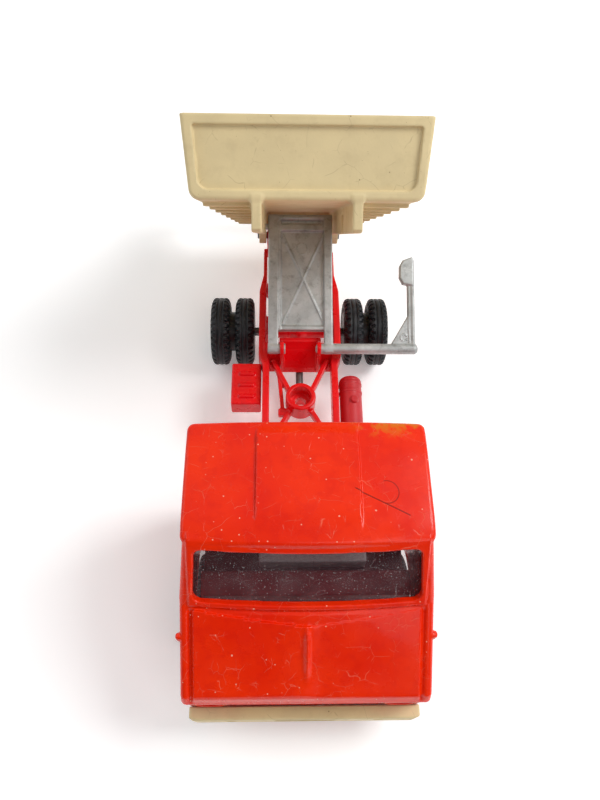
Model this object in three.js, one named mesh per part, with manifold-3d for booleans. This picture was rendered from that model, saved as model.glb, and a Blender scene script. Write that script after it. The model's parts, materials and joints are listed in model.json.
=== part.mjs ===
// Die-cast toy tipper truck: cab, ladder chassis, hand-lever lift frame and tipping body, shown tipped.
// Millimetres. +X is the truck's left side, the truck faces -Y, +Z is up.
// Stations along the truck are measured from the front of the bumper, heights from the ground.
import * as THREE from "three";
import { mergeVertices } from "three/addons/utils/BufferGeometryUtils.js";
import Module from "manifold-3d";

const kernel = await Module();
kernel.setup();

// Driving dimensions.
const CAB_WIDTH = 51.2; // over the doors
const ROOF_WIDTH = 49.8; // over the roof edges
const CAB_REAR = 54.4; // station of the cab's back wall
const CAB_SILL = 12.4; // height of the cab's lower edge
const ROOF_Z = 52.4; // top of the roof
const ROOF_FRONT = 29.1; // station of the roof's front edge
const COWL_Y = 19.8; // station where the bonnet meets the windscreen
const COWL_Z = 39.6; // height of that line
const NOSE_Y = 2.3; // front edge of the bonnet
const NOSE_Z = 28.2; // height of that edge
const FRONT_FACE = 3.0; // station of the upright front panel
const CAB_WALL = 1.5; // casting thickness of the cab
const CAVITY_HALF = 23.5; // half width of the cab's inside
const BUMPER_WIDTH = 50;
const BUMPER_DEPTH = 2.6;
const BUMPER_TOP = 16.5;
const TYRE_R = 9.55; // tyre radius
const TYRE_WIDTH = 5.2;
const RIM_R = 5.9; // radius where the tyre meets the rim
const AXLE_R = 1.2;
const BEARING_R = 1.27; // running bores for the axles
const FRONT_AXLE_Y = 28.5;
const REAR_AXLE_Y = 103.4;
const TRACK_HALF = 24.7; // outside of the outer tyres
const DUAL_PITCH = 6.8; // from one twin tyre to the next
const RAIL_TOP = 18;
const RAIL_BOTTOM = 12.6;
const RAIL_FRONT_OUT = 10.1; // half width over the rails at the front and rear
const RAIL_FRONT_IN = 8.3;
const RAIL_MID_OUT = 11.2; // half width over the rails beside the lift frame
const RAIL_MID_IN = 9.3;
const RING_Y = 77.3; // station of the round chassis boss
const RING_R = 3.95;
const PIVOT_Y = 90.4; // lift frame pivot
const PIVOT_Z = 21.4;
const SHAFT_R = 1.4;
const LIFT_HALF = 8.6; // half width of the lift frame
const LIFT_TIP = 36; // pivot to the tip bar
const LIFT_ANGLE = 21; // lift frame inclination when raised
const LEVER_END = 31.3; // end of the lever shaft
const HINGE_Y = 131.4; // tipping hinge
const HINGE_Z = 18.4;
const TIP_ANGLE = 50; // floor inclination when tipped
const CHASSIS_END = HINGE_Y + 4.2;
const HINGE_PIN_R = 1.0;
const BODY_WIDTH = 51.5;
const BODY_FRONT = 67.2; // hinge to the front wall's outer face
const BODY_REAR = 5.5; // hinge to the rear edge
const FLOOR_H = 6.7; // hinge to the floor's underside
const FLOOR_T = 1.3;
const WALL_T = 1.5;
const BODY_H = FLOOR_H + 16.8; // hinge to the top edge of the walls
const RUNNER_IN = 9.4; // inner face of the rails under the floor
const RUNNER_OUT = 11.5;
const GATE_PIVOT_BACK = 6.55; // tailgate pivot behind the tipping hinge
const GATE_PIVOT_H = BODY_H - 1.1;

const group = new THREE.Group();

// One closed solid from any three.js geometry.
function solid(geometry) {
  const flat = geometry.index ? geometry.toNonIndexed() : geometry;
  const bare = new THREE.BufferGeometry();
  bare.setAttribute("position", flat.getAttribute("position"));
  const merged = mergeVertices(bare, 1e-4);
  return new kernel.Manifold(
    new kernel.Mesh({
      numProp: 3,
      vertProperties: merged.attributes.position.array,
      triVerts: new Uint32Array(merged.index.array),
    }),
  );
}

function join(parts) {
  return parts.reduce((a, b) => a.add(b));
}

function cut(body, tools) {
  return tools.reduce((a, b) => a.subtract(b), body);
}

// A closed outline through corner points, each corner eased by the radius.
function outline(points, radius = 0) {
  const shape = new THREE.Shape();
  const corners = points.map(([u, v]) => new THREE.Vector2(u, v));
  corners.forEach((corner, i) => {
    const before = corners[(i + corners.length - 1) % corners.length];
    const after = corners[(i + 1) % corners.length];
    const reachIn = Math.min(radius, corner.distanceTo(before) / 2.05);
    const reachOut = Math.min(radius, corner.distanceTo(after) / 2.05);
    const enter = before.clone().sub(corner).setLength(reachIn).add(corner);
    const leave = after.clone().sub(corner).setLength(reachOut).add(corner);
    if (i === 0) {
      shape.moveTo(enter.x, enter.y);
    } else {
      shape.lineTo(enter.x, enter.y);
    }
    if (radius > 0) {
      shape.quadraticCurveTo(corner.x, corner.y, leave.x, leave.y);
    }
  });
  return shape;
}

function slab(shape, depth, segments = 3) {
  return new THREE.ExtrudeGeometry(shape, {
    depth,
    bevelEnabled: false,
    curveSegments: segments,
  });
}

// Outline in station and height, drawn out across the truck.
function across(points, x0, x1, radius = 0) {
  const basis = new THREE.Matrix4().makeBasis(
    new THREE.Vector3(0, 1, 0),
    new THREE.Vector3(0, 0, 1),
    new THREE.Vector3(1, 0, 0),
  );
  basis.setPosition(x0, 0, 0);
  return slab(outline(points, radius), x1 - x0).applyMatrix4(basis);
}

// Outline in width and height, drawn out along the truck.
function along(points, y0, y1, radius = 0) {
  const basis = new THREE.Matrix4().makeBasis(
    new THREE.Vector3(1, 0, 0),
    new THREE.Vector3(0, 0, 1),
    new THREE.Vector3(0, -1, 0),
  );
  basis.setPosition(0, y1, 0);
  return slab(outline(points, radius), y1 - y0).applyMatrix4(basis);
}

// Outline in plan, drawn upwards.
function upward(points, z0, z1, radius = 0) {
  return slab(outline(points, radius), z1 - z0).translate(0, 0, z0);
}

function block(x0, x1, y0, y1, z0, z1) {
  const box = new THREE.BoxGeometry(x1 - x0, y1 - y0, z1 - z0);
  return box.translate((x0 + x1) / 2, (y0 + y1) / 2, (z0 + z1) / 2);
}

function rodX(x0, x1, y, z, r, sides = 24) {
  const rod = new THREE.CylinderGeometry(r, r, x1 - x0, sides);
  return rod.rotateZ(-Math.PI / 2).translate((x0 + x1) / 2, y, z);
}

function rodY(x, y0, y1, z, r, sides = 24) {
  return new THREE.CylinderGeometry(r, r, y1 - y0, sides).translate(x, (y0 + y1) / 2, z);
}

function rodZ(x, y, z0, z1, r, sides = 24) {
  const rod = new THREE.CylinderGeometry(r, r, z1 - z0, sides);
  return rod.rotateX(Math.PI / 2).translate(x, y, (z0 + z1) / 2);
}

// A turned ring about the X axis, from radius and offset pairs.
function turned(profile, x, y, z, sides) {
  const points = profile.map(([r, o]) => new THREE.Vector2(r, o));
  points.push(points[0].clone());
  const ring = new THREE.LatheGeometry(points, sides);
  return ring.rotateZ(-Math.PI / 2).translate(x, y, z);
}

function both(make) {
  return [-1, 1].map((side) => solid(make(side)));
}

// Block between two distances from the centre plane, on the given side.
function sideBlock(side, near, far, y0, y1, z0, z1) {
  return block(Math.min(side * near, side * far), Math.max(side * near, side * far), y0, y1, z0, z1);
}

function sideRod(side, near, far, y, z, r, sides = 24) {
  return rodX(Math.min(side * near, side * far), Math.max(side * near, side * far), y, z, r, sides);
}

function sideAcross(side, near, far, points, radius = 0) {
  return across(points, Math.min(side * near, side * far), Math.max(side * near, side * far), radius);
}

const PAINT_ORANGE = { color: 0xe0341a, roughness: 0.3, metalness: 0.1 };
const PLASTIC_RED = { color: 0xd61a22, roughness: 0.35, metalness: 0 };
const PLASTIC_CREAM = { color: 0xe4d2a4, roughness: 0.45, metalness: 0 };
const ZINC = { color: 0x9a968e, roughness: 0.5, metalness: 0.85 };
const BLACK_RUBBER = { color: 0x17181a, roughness: 0.8, metalness: 0 };
const STEEL = { color: 0x8d8d90, roughness: 0.35, metalness: 0.95 };
const GREY_PLASTIC = { color: 0x4b4244, roughness: 0.6, metalness: 0 };
const CLEAR = { color: 0xc4cdd0, roughness: 0.1, metalness: 0, transparent: true, opacity: 0.4 };
const SILVER = { color: 0xc9ccce, roughness: 0.25, metalness: 0.6 };

function place(name, body, look, matrix) {
  const mesh = body.getMesh();
  const geometry = new THREE.BufferGeometry();
  geometry.setAttribute("position", new THREE.BufferAttribute(mesh.vertProperties, 3));
  geometry.setIndex(new THREE.BufferAttribute(mesh.triVerts, 1));
  if (matrix) {
    geometry.applyMatrix4(matrix);
  }
  const faceted = geometry.toNonIndexed();
  faceted.computeVertexNormals();
  const piece = new THREE.Mesh(faceted, new THREE.MeshStandardMaterial(look));
  piece.name = name;
  group.add(piece);
}

// Turning by an angle in degrees about a cross axis through a station and height.
function turnAbout(y, z, degrees) {
  const turn = new THREE.Matrix4().makeTranslation(0, y, z);
  turn.multiply(new THREE.Matrix4().makeRotationX(THREE.MathUtils.degToRad(degrees)));
  return turn.multiply(new THREE.Matrix4().makeTranslation(0, -y, -z));
}

// Cab casting: roof, pillars, doors, short sloping bonnet and upright front.
const cabSide = [
  [CAB_REAR, CAB_SILL],
  [CAB_REAR, ROOF_Z - 3],
  [CAB_REAR - 1.5, ROOF_Z - 0.6],
  [CAB_REAR - 8, ROOF_Z],
  [ROOF_FRONT + 6, ROOF_Z - 0.2],
  [ROOF_FRONT, ROOF_Z - 1.4],
  [ROOF_FRONT, ROOF_Z - 2.4],
  [COWL_Y, COWL_Z],
  [NOSE_Y + 1.4, NOSE_Z + 0.5],
  [NOSE_Y, NOSE_Z - 1.2],
  [FRONT_FACE, NOSE_Z - 3.2],
  [FRONT_FACE, CAB_SILL],
];
const cabFront = [
  [CAB_WIDTH / 2 - 0.6, CAB_SILL - 1],
  [CAB_WIDTH / 2, CAB_SILL + 6],
  [CAB_WIDTH / 2, COWL_Z],
  [ROOF_WIDTH / 2, ROOF_Z - 2.2],
  [ROOF_WIDTH / 2 - 1.4, ROOF_Z - 0.5],
  [ROOF_WIDTH / 2 - 5, ROOF_Z + 0.2],
];
const mirrored = cabFront.map(([x, z]) => [-x, z]).reverse();
const cabHollow = [
  [CAB_REAR - CAB_WALL, CAB_SILL - 1],
  [CAB_REAR - CAB_WALL, ROOF_Z - 2.1],
  [ROOF_FRONT + 2, ROOF_Z - 2.1],
  [ROOF_FRONT + 1.1, ROOF_Z - 3.6],
  [COWL_Y + 1, COWL_Z - 1.6],
  [FRONT_FACE + 2.6, NOSE_Z - 1.2],
  [FRONT_FACE + CAB_WALL, NOSE_Z - 3.6],
  [FRONT_FACE + CAB_WALL, CAB_SILL - 1],
];
const visor = [
  [-ROOF_WIDTH / 2 + 0.6, ROOF_FRONT + 1.2],
  [-ROOF_WIDTH / 2 + 0.6, ROOF_FRONT - 0.1],
  [-12, ROOF_FRONT - 1.1],
  [12, ROOF_FRONT - 1.1],
  [ROOF_WIDTH / 2 - 0.6, ROOF_FRONT - 0.1],
  [ROOF_WIDTH / 2 - 0.6, ROOF_FRONT + 1.2],
];
const screenTop = new THREE.Vector2(ROOF_FRONT - 0.9, ROOF_Z - 3.4);
const screenRise = screenTop.clone().sub(new THREE.Vector2(COWL_Y, COWL_Z));
const screenLength = screenRise.length();
screenRise.normalize();
const screenHole = [
  [-22.9, 1.0],
  [22.9, 1.0],
  [22.3, screenLength - 0.5],
  [-22.3, screenLength - 0.5],
];
const screenBasis = new THREE.Matrix4().makeBasis(
  new THREE.Vector3(1, 0, 0),
  new THREE.Vector3(0, screenRise.x, screenRise.y),
  new THREE.Vector3(0, -screenRise.y, screenRise.x),
);
screenBasis.setPosition(0, COWL_Y + 3 * screenRise.y, COWL_Z - 3 * screenRise.x);
const screenCut = slab(outline(screenHole, 1.8), 6).applyMatrix4(screenBasis);
const doorWindow = [
  [26.2, COWL_Z + 1.2],
  [31.6, ROOF_Z - 4],
  [44.6, ROOF_Z - 4],
  [44.6, COWL_Z + 1.2],
];
const rearWindow = [
  [-14, COWL_Z + 1.6],
  [14, COWL_Z + 1.6],
  [14, ROOF_Z - 4.6],
  [-14, ROOF_Z - 4.6],
];
const grilleHole = [
  [-15.5, 17.4],
  [15.5, 17.4],
  [15.5, 24.2],
  [-15.5, 24.2],
];
const plateau = [
  [-10.2, ROOF_Z - 1],
  [10.2, ROOF_Z - 1],
  [9.4, ROOF_Z + 0.35],
  [-9.4, ROOF_Z + 0.35],
];
let cab = solid(across(cabSide, -CAB_WIDTH / 2, CAB_WIDTH / 2));
cab = cab.intersect(solid(along(cabFront.concat(mirrored), -5, 60)));
cab = join([
  cab,
  solid(upward(visor, ROOF_Z - 2.3, ROOF_Z - 1.3)),
  solid(along(plateau, ROOF_FRONT + 3, CAB_REAR - 3)),
  ...both((s) => sideBlock(s, CAB_WIDTH / 2 - 0.5, CAB_WIDTH / 2 + 0.95, 13.6, 15.2, 33.2, 35.8)),
]);
cab = cut(cab, [
  solid(across(cabHollow, -CAVITY_HALF, CAVITY_HALF)),
  solid(screenCut),
  solid(across(doorWindow, -30, 30, 1.2)),
  solid(along(rearWindow, CAB_REAR - 4, CAB_REAR + 4, 1.2)),
  solid(along(grilleHole, FRONT_FACE - 3, FRONT_FACE + 2.4, 0.6)),
  ...both((s) => sideRod(s, 18, 27, FRONT_AXLE_Y, TYRE_R, TYRE_R + 1.6, 40)),
  ...both((s) => rodY(s * 20.2, FRONT_FACE - 3, FRONT_FACE + 3, 20.8, 2.7)),
  solid(block(-11, 11, CAB_REAR - 4, CAB_REAR + 2, CAB_SILL - 2, RAIL_TOP + 0.6)),
]);
place("cab_shell", cab, PAINT_ORANGE);

// Clear moulding behind the windows.
const glassOut = [
  [CAB_REAR - CAB_WALL - 0.3, COWL_Z - 0.6],
  [CAB_REAR - CAB_WALL - 0.3, ROOF_Z - 2.4],
  [ROOF_FRONT + 2.3, ROOF_Z - 2.4],
  [ROOF_FRONT + 1.5, ROOF_Z - 3.8],
  [COWL_Y + 2, COWL_Z - 0.6],
];
const glassIn = [
  [CAB_REAR - CAB_WALL - 1.1, COWL_Z - 2],
  [CAB_REAR - CAB_WALL - 1.1, ROOF_Z - 3.2],
  [ROOF_FRONT + 2.9, ROOF_Z - 3.2],
  [ROOF_FRONT + 2.5, ROOF_Z - 4.1],
  [COWL_Y + 1.7, COWL_Z - 2],
];
place(
  "window_glazing",
  cut(solid(across(glassOut, -CAVITY_HALF + 0.3, CAVITY_HALF - 0.3)), [
    solid(across(glassIn, -CAVITY_HALF + 1.1, CAVITY_HALF - 1.1)),
  ]),
  CLEAR,
);

// Cabin moulding: floor, bench seat, engine cover and dashboard.
const bench = [
  [38, 22],
  [38, 28],
  [47, 27.4],
  [49.2, 37.6],
  [52, 37.6],
  [52, 22],
];
const dashboard = [
  [22.2, 22],
  [22.2, 33.6],
  [25.6, 35],
  [29, 35],
  [29.6, 33],
  [28, 22],
];
place(
  "cabin_moulding",
  join([
    solid(block(-CAVITY_HALF + 0.4, CAVITY_HALF - 0.4, 22, 52.3, 21.4, 22.6)),
    solid(across(bench, -20.5, 20.5, 0.6)),
    solid(block(-10, 13.2, 31.6, 47, 22, 30.6)),
    solid(across(dashboard, -22.6, 22.6, 0.5)),
  ]),
  GREY_PLASTIC,
);

// Cream bumper, grille and headlamps on the front.
const bumperPlan = [
  [-BUMPER_WIDTH / 2, BUMPER_DEPTH],
  [-BUMPER_WIDTH / 2, 0.4],
  [-BUMPER_WIDTH / 2 + 1.2, 0],
  [BUMPER_WIDTH / 2 - 1.2, 0],
  [BUMPER_WIDTH / 2, 0.4],
  [BUMPER_WIDTH / 2, BUMPER_DEPTH],
];
place(
  "front_bumper",
  cut(solid(upward(bumperPlan, BUMPER_TOP - 5.4, BUMPER_TOP, 0.4)), [
    solid(block(-6.5, 6.5, -1, 0.4, BUMPER_TOP - 4.2, BUMPER_TOP - 1.4)),
    ...both((s) => rodY(s * 16, -1, 0.5, BUMPER_TOP - 2.8, 1.2, 16)),
  ]),
  PLASTIC_CREAM,
);
const grilleBars = [0, 1, 2, 3].map((i) => {
  return solid(block(-14.6, 14.6, FRONT_FACE + 0.1, FRONT_FACE + 1.2, 18.1 + 1.55 * i, 18.9 + 1.55 * i));
});
place(
  "radiator_grille",
  join([
    solid(block(-15.2, 15.2, FRONT_FACE + 0.9, FRONT_FACE + 1.7, 17.7, 23.9)),
    ...grilleBars,
  ]),
  PLASTIC_CREAM,
);
["right", "left"].forEach((hand, i) => {
  const x = (2 * i - 1) * 20.2;
  const lamp = join([
    solid(rodY(x, FRONT_FACE + 0.8, FRONT_FACE + 2, 20.8, 2.4)),
    solid(new THREE.SphereGeometry(2.2, 20, 12).scale(1, 0.35, 1).translate(x, FRONT_FACE + 0.9, 20.8)),
  ]);
  place("headlamp_" + hand, lamp, SILVER);
});

// Ladder chassis with crossed stays, round boss, pivot lugs and tipping lugs.
function railPlan(side) {
  const outer = [
    [RAIL_FRONT_OUT, 9],
    [RAIL_FRONT_OUT, PIVOT_Y - 3],
    [RAIL_MID_OUT, PIVOT_Y + 0.5],
    [RAIL_MID_OUT, PIVOT_Y + 21.5],
    [RAIL_FRONT_OUT, PIVOT_Y + 27],
    [RAIL_FRONT_OUT, HINGE_Y - 2.8],
  ];
  const inner = [
    [RAIL_MID_IN - 0.2, HINGE_Y - 2.8],
    [RAIL_MID_IN - 0.2, CHASSIS_END],
    [6.6, CHASSIS_END],
    [6.6, HINGE_Y - 3.4],
    [RAIL_MID_IN - 0.2, HINGE_Y - 3.7],
    [RAIL_MID_IN - 0.2, PIVOT_Y + 26.5],
    [RAIL_MID_IN, PIVOT_Y + 21.5],
    [RAIL_MID_IN, PIVOT_Y + 3],
    [RAIL_FRONT_IN, PIVOT_Y - 1.5],
    [RAIL_FRONT_IN, 9],
  ];
  return outer.concat(inner).map(([x, y]) => [side * x, y]);
}
const pivotMember = [
  [PIVOT_Y + 3, 20.5],
  [PIVOT_Y + 4.2, 20.5],
  [PIVOT_Y + 4.2, 18],
  [PIVOT_Y + 2.2, 11.8],
  [PIVOT_Y - 1.8, 11.8],
  [PIVOT_Y - 1.2, 13.5],
];
const pivotLug = [
  [PIVOT_Y - 2, 12],
  [PIVOT_Y - 2, PIVOT_Z + 0.6],
  [PIVOT_Y - 0.9, PIVOT_Z + 1.95],
  [PIVOT_Y + 0.9, PIVOT_Z + 1.95],
  [PIVOT_Y + 2, PIVOT_Z + 0.6],
  [PIVOT_Y + 2, 12],
];
const tipLug = [
  [HINGE_Y - 2.3, 13],
  [HINGE_Y - 2.3, HINGE_Z + 0.8],
  [HINGE_Y - 1.1, HINGE_Z + 2.3],
  [HINGE_Y + 1.1, HINGE_Z + 2.3],
  [HINGE_Y + 2.3, HINGE_Z + 0.8],
  [HINGE_Y + 2.3, 13],
];
function stay(x0, y0, x1, y1, width, z0, z1) {
  const run = new THREE.Vector2(x1 - x0, y1 - y0);
  const bar = block(-run.length() / 2, run.length() / 2, -width / 2, width / 2, z0, z1);
  bar.rotateZ(Math.atan2(run.y, run.x));
  return solid(bar.translate((x0 + x1) / 2, (y0 + y1) / 2, 0));
}
const stays = [-1, 1].flatMap((s) => [
  stay(s * 2.6, RING_Y + 2.4, s * 7.4, PIVOT_Y - 0.4, 1.3, 14.4, 16.4),
  stay(s * 2.6, RING_Y - 2.4, s * 9, 63.5, 1.3, 14.4, 16.4),
]);
function axleLug(y) {
  return both((s) => {
    const foot = [
      [y - 3.1, 8.4],
      [y - 1.4, 6.9],
      [y + 1.4, 6.9],
      [y + 3.1, 8.4],
      [y + 3.1, 13],
      [y - 3.1, 13],
    ];
    return sideAcross(s, RAIL_FRONT_IN, RAIL_FRONT_OUT, foot);
  });
}
let chassis = join([
  ...both((s) => upward(railPlan(s), RAIL_BOTTOM, RAIL_TOP)),
  solid(block(-9, 9, 9, 12.6, RAIL_BOTTOM, 15.4)),
  solid(block(-9, 9, 38, 45.6, RAIL_BOTTOM, 15.6)),
  solid(block(-9, 9, 61, 64.4, RAIL_BOTTOM, 16.4)),
  solid(block(-9.2, 9.2, 113.5, 116.6, 11.4, 14.6)),
  solid(block(-9, 9, HINGE_Y + 2.4, CHASSIS_END, RAIL_BOTTOM, 17.2)),
  ...axleLug(FRONT_AXLE_Y),
  ...axleLug(REAR_AXLE_Y),
  solid(rodX(-9, 9, REAR_AXLE_Y, TYRE_R, 1.8, 20)),
  solid(new THREE.SphereGeometry(2.6, 20, 14).translate(0, REAR_AXLE_Y, TYRE_R)),
  solid(rodZ(0, RING_Y, 13.4, 19.4, RING_R, 36)),
  solid(block(-1.7, 1.7, RING_Y + 2.6, RING_Y + 4.2, 8.8, 14.4)),
  ...stays,
  stay(-5.7, RING_Y + 9.1, -4.7, RING_Y - 2.6, 1, 14.4, 16.2),
  solid(block(-5.9, -3.4, RING_Y - 4, RING_Y - 2, 14.4, 16.2)),
  solid(across(pivotMember, -5.6, 5.6)),
  solid(across([[PIVOT_Y + 1.6, 18], ...pivotMember.slice(2)], -9.6, 9.6)),
  ...both((s) => sideAcross(s, 4.4, 5.5, pivotLug)),
  ...both((s) => sideAcross(s, 6.6, 9.1, tipLug)),
]);
chassis = cut(chassis, [
  solid(rodZ(0, RING_Y, 15.9, 21, 2.7, 32)),
  solid(rodZ(0, RING_Y, 10, 21, 1.4, 24)),
  solid(rodX(-12, 12, FRONT_AXLE_Y, TYRE_R, BEARING_R)),
  solid(rodX(-12, 12, REAR_AXLE_Y, TYRE_R, BEARING_R)),
  solid(rodX(-7, 7, PIVOT_Y, PIVOT_Z, SHAFT_R + 0.07)),
  solid(rodX(-12, 12, HINGE_Y, HINGE_Z, HINGE_PIN_R + 0.05)),
  solid(rodZ(0, 41.8, 10, 18, 1.1, 20)),
  ...both((s) => sideBlock(s, RAIL_MID_IN - 0.2, 11, HINGE_Y - 5.6, HINGE_Y - 2.4, 15.8, 19)),
]);
place("chassis_frame", chassis, PLASTIC_RED);

// Screw that holds the cab to the chassis from below.
place(
  "cab_screw",
  join([
    solid(rodZ(0, 41.8, 11.3, RAIL_BOTTOM - 0.3, 2.2, 24)),
    solid(rodZ(0, 41.8, 12, 16.4, 0.8, 16)),
  ]).subtract(solid(block(-2.4, 2.4, 41.5, 42.1, 11, 11.8))),
  STEEL,
);

// Prop shaft between the lug under the round boss and the rear axle.
place("prop_shaft", solid(rodY(0, RING_Y + 4.6, REAR_AXLE_Y - 4.4, 10.2, 1)), ZINC);

// Battery box and fuel tank on the flanks.
const boxEnd = [
  [-18.4, 10.8],
  [-10.7, 10.8],
  [-10.7, 16.1],
  [-18.4, 16.1],
];
const boxRibs = [0, 1, 2].map((i) => {
  return solid(block(-18.6, -10.5, 78 + 4.2 * i, 79.2 + 4.2 * i, 15, 16.6));
});
place("battery_box", join([solid(along(boxEnd, 76.6, 89, 0.5)), ...boxRibs]), PLASTIC_RED);
const TANK_X = 13.6;
const TANK_Z = 13.6;
const TANK_R = 3;
const TANK_FRONT = 67.4;
const TANK_REAR = 84.5;
const tankEnd = new THREE.SphereGeometry(TANK_R, 24, 12).scale(1, 0.45, 1);
place(
  "fuel_tank",
  join([
    solid(rodY(TANK_X, TANK_FRONT, TANK_REAR, TANK_Z, TANK_R, 28)),
    solid(tankEnd.translate(TANK_X, TANK_REAR, TANK_Z)),
    solid(rodY(TANK_X, TANK_FRONT + 1, TANK_FRONT + 1.8, TANK_Z, TANK_R + 0.15, 28)),
    solid(rodY(TANK_X, TANK_REAR - 1.6, TANK_REAR - 0.8, TANK_Z, TANK_R + 0.15, 28)),
    solid(rodZ(TANK_X + 0.7, RING_Y + 0.4, TANK_Z, TANK_Z + TANK_R + 0.8, 1, 20)),
  ]),
  PLASTIC_RED,
);

// Axles, hubs and tyres.
function tyre(x) {
  const half = TYRE_WIDTH / 2;
  const profile = [
    [RIM_R, -half + 0.5],
    [TYRE_R - 1.3, -half],
    [TYRE_R - 0.25, -half + 0.8],
    [TYRE_R, 0],
    [TYRE_R - 0.25, half - 0.8],
    [TYRE_R - 1.3, half],
    [RIM_R, half - 0.5],
  ];
  return (y) => solid(turned(profile, x, y, TYRE_R, 40));
}
function hub(side, inner, outer, y) {
  const barrel = sideRod(side, inner, outer - 0.5, y, TYRE_R, RIM_R - 0.3, 32);
  const dish = sideRod(side, outer - 1.9, outer, y, TYRE_R, RIM_R - 1.7, 32);
  const nave = sideRod(side, outer - 2.2, outer - 0.2, y, TYRE_R, 2.3, 24);
  const bore = sideRod(side, inner - 1, outer - 0.9, y, TYRE_R, AXLE_R + 0.02, 24);
  return join([cut(solid(barrel), [solid(dish)]), solid(nave)]).subtract(solid(bore));
}
place("front_axle", solid(rodX(-TRACK_HALF + 1.2, TRACK_HALF - 1.2, FRONT_AXLE_Y, TYRE_R, AXLE_R)), STEEL);
place("rear_axle", solid(rodX(-TRACK_HALF + 1.2, TRACK_HALF - 1.2, REAR_AXLE_Y, TYRE_R, AXLE_R)), STEEL);
["right", "left"].forEach((hand, i) => {
  const s = 2 * i - 1;
  const outerMid = TRACK_HALF - TYRE_WIDTH / 2;
  const innerMid = outerMid - DUAL_PITCH;
  place("front_hub_" + hand, hub(s, TRACK_HALF - TYRE_WIDTH, TRACK_HALF, FRONT_AXLE_Y), SILVER);
  place("front_tyre_" + hand, tyre(s * outerMid)(FRONT_AXLE_Y), BLACK_RUBBER);
  place("rear_hub_" + hand, hub(s, innerMid - TYRE_WIDTH / 2, TRACK_HALF, REAR_AXLE_Y), SILVER);
  place("rear_outer_tyre_" + hand, tyre(s * outerMid)(REAR_AXLE_Y), BLACK_RUBBER);
  place("rear_inner_tyre_" + hand, tyre(s * innerMid)(REAR_AXLE_Y), BLACK_RUBBER);
});

// Lift frame: two arms, a ribbed panel, two end bars and the hand lever, in one casting.
const liftTurn = turnAbout(PIVOT_Y, PIVOT_Z, LIFT_ANGLE);
const P = PIVOT_Y;
const Z = PIVOT_Z;
const leverPad = [
  [28.9, P + 17.4],
  [27.5, P + 17.6],
  [26.6, P + 19.4],
  [26.7, P + 22.6],
  [27.6, P + 24.2],
  [30.2, P + 25.2],
  [30.5, P + 24.6],
  [30.5, P + 17],
];
const lift = join([
  solid(block(-LIFT_HALF, -6.2, P - 1.2, P + LIFT_TIP, Z - 1.1, Z + 1.1)),
  solid(block(-6.3, -5.1, P + 4.9, P + LIFT_TIP, Z - 1.1, Z + 1.1)),
  solid(block(6.5, LIFT_HALF, P - 1.2, P + LIFT_TIP, Z - 1.1, Z + 1.1)),
  solid(block(-5.4, 6.8, P + 4.9, P + LIFT_TIP - 0.4, Z - 1.1, Z + 0.1)),
  solid(block(-5.4, 6.8, P + LIFT_TIP - 3.8, P + LIFT_TIP - 1.8, Z - 1.1, Z + 0.9)),
  solid(block(-5.4, 6.8, P + 4.9, P + 6.2, Z - 1.1, Z + 0.8)),
  solid(rodX(-LIFT_HALF, LIFT_HALF, P + LIFT_TIP, Z, 0.9, 16)),
  stay(-4.8, P + 6.4, 6.4, P + LIFT_TIP - 4, 0.7, Z - 0.2, Z + 0.45),
  stay(6.4, P + 6.4, -4.8, P + LIFT_TIP - 4, 0.7, Z - 0.2, Z + 0.45),
  solid(rodX(-LIFT_HALF, -4, P, Z, SHAFT_R)),
  solid(rodX(4, LEVER_END - SHAFT_R, P, Z, SHAFT_R)),
  solid(new THREE.SphereGeometry(SHAFT_R, 20, 14).translate(LEVER_END - SHAFT_R, P, Z)),
  solid(block(28.75, 30.5, P, P + 24.4, Z - 0.8, Z + 0.8)),
  solid(block(29.9, 30.6, P, P + 24.6, Z - 1.3, Z + 0.8)),
  solid(upward(leverPad, Z - 0.8, Z + 1.1, 0.5)),
  solid(upward([[24.2, P], [24.4, P + 1.6], [28.9, P + 9.2], [29.4, P]], Z - 0.6, Z + 0.7)),
]);
place("lift_frame", lift, ZINC, liftTurn);

// Tipping body: tray with ribbed walls, rails and cross ribs under the floor.
const bodyTurn = turnAbout(HINGE_Y, HINGE_Z, -TIP_ANGLE);
function traySection(inset, floor, top) {
  const half = BODY_WIDTH / 2 - inset;
  const foot = BODY_WIDTH / 2 - 3.1 - inset * 0.6;
  const base = HINGE_Z + floor;
  const rim = HINGE_Z + top;
  return [
    [-half, rim],
    [-half + 1.3, base + 2.4],
    [-half + 2, base + 0.7],
    [-foot, base],
    [foot, base],
    [half - 2, base + 0.7],
    [half - 1.3, base + 2.4],
    [half, rim],
  ];
}
const bodyFrontY = HINGE_Y - BODY_FRONT;
const bodyRearY = HINGE_Y + BODY_REAR;
const runner = [
  [bodyFrontY, HINGE_Z + FLOOR_H + 1],
  [bodyFrontY, HINGE_Z + 0.9],
  [bodyFrontY + 0.6, HINGE_Z + 0.35],
  [HINGE_Y - 4.2, HINGE_Z + 0.35],
  [HINGE_Y - 2.1, HINGE_Z - 1.2],
  [HINGE_Y - 0.9, HINGE_Z - 2.3],
  [HINGE_Y + 0.9, HINGE_Z - 2.3],
  [HINGE_Y + 2.1, HINGE_Z - 1.2],
  [HINGE_Y + 2.3, HINGE_Z + 1.2],
  [HINGE_Y + 4.4, HINGE_Z + FLOOR_H + 0.4],
];
const sideRibs = [0, 1, 2, 3, 4, 5].flatMap((i) =>
  both((s) => {
    const y = bodyFrontY + 8 + 11.2 * i;
    const foot = HINGE_Z + FLOOR_H + 4.4;
    const rim = HINGE_Z + BODY_H - 1.5;
    return sideBlock(s, BODY_WIDTH / 2 - 1.4, BODY_WIDTH / 2 + 0.35, y - 1.1, y + 1.1, foot, rim);
  }),
);
const floorZ = HINGE_Z + FLOOR_H;
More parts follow.
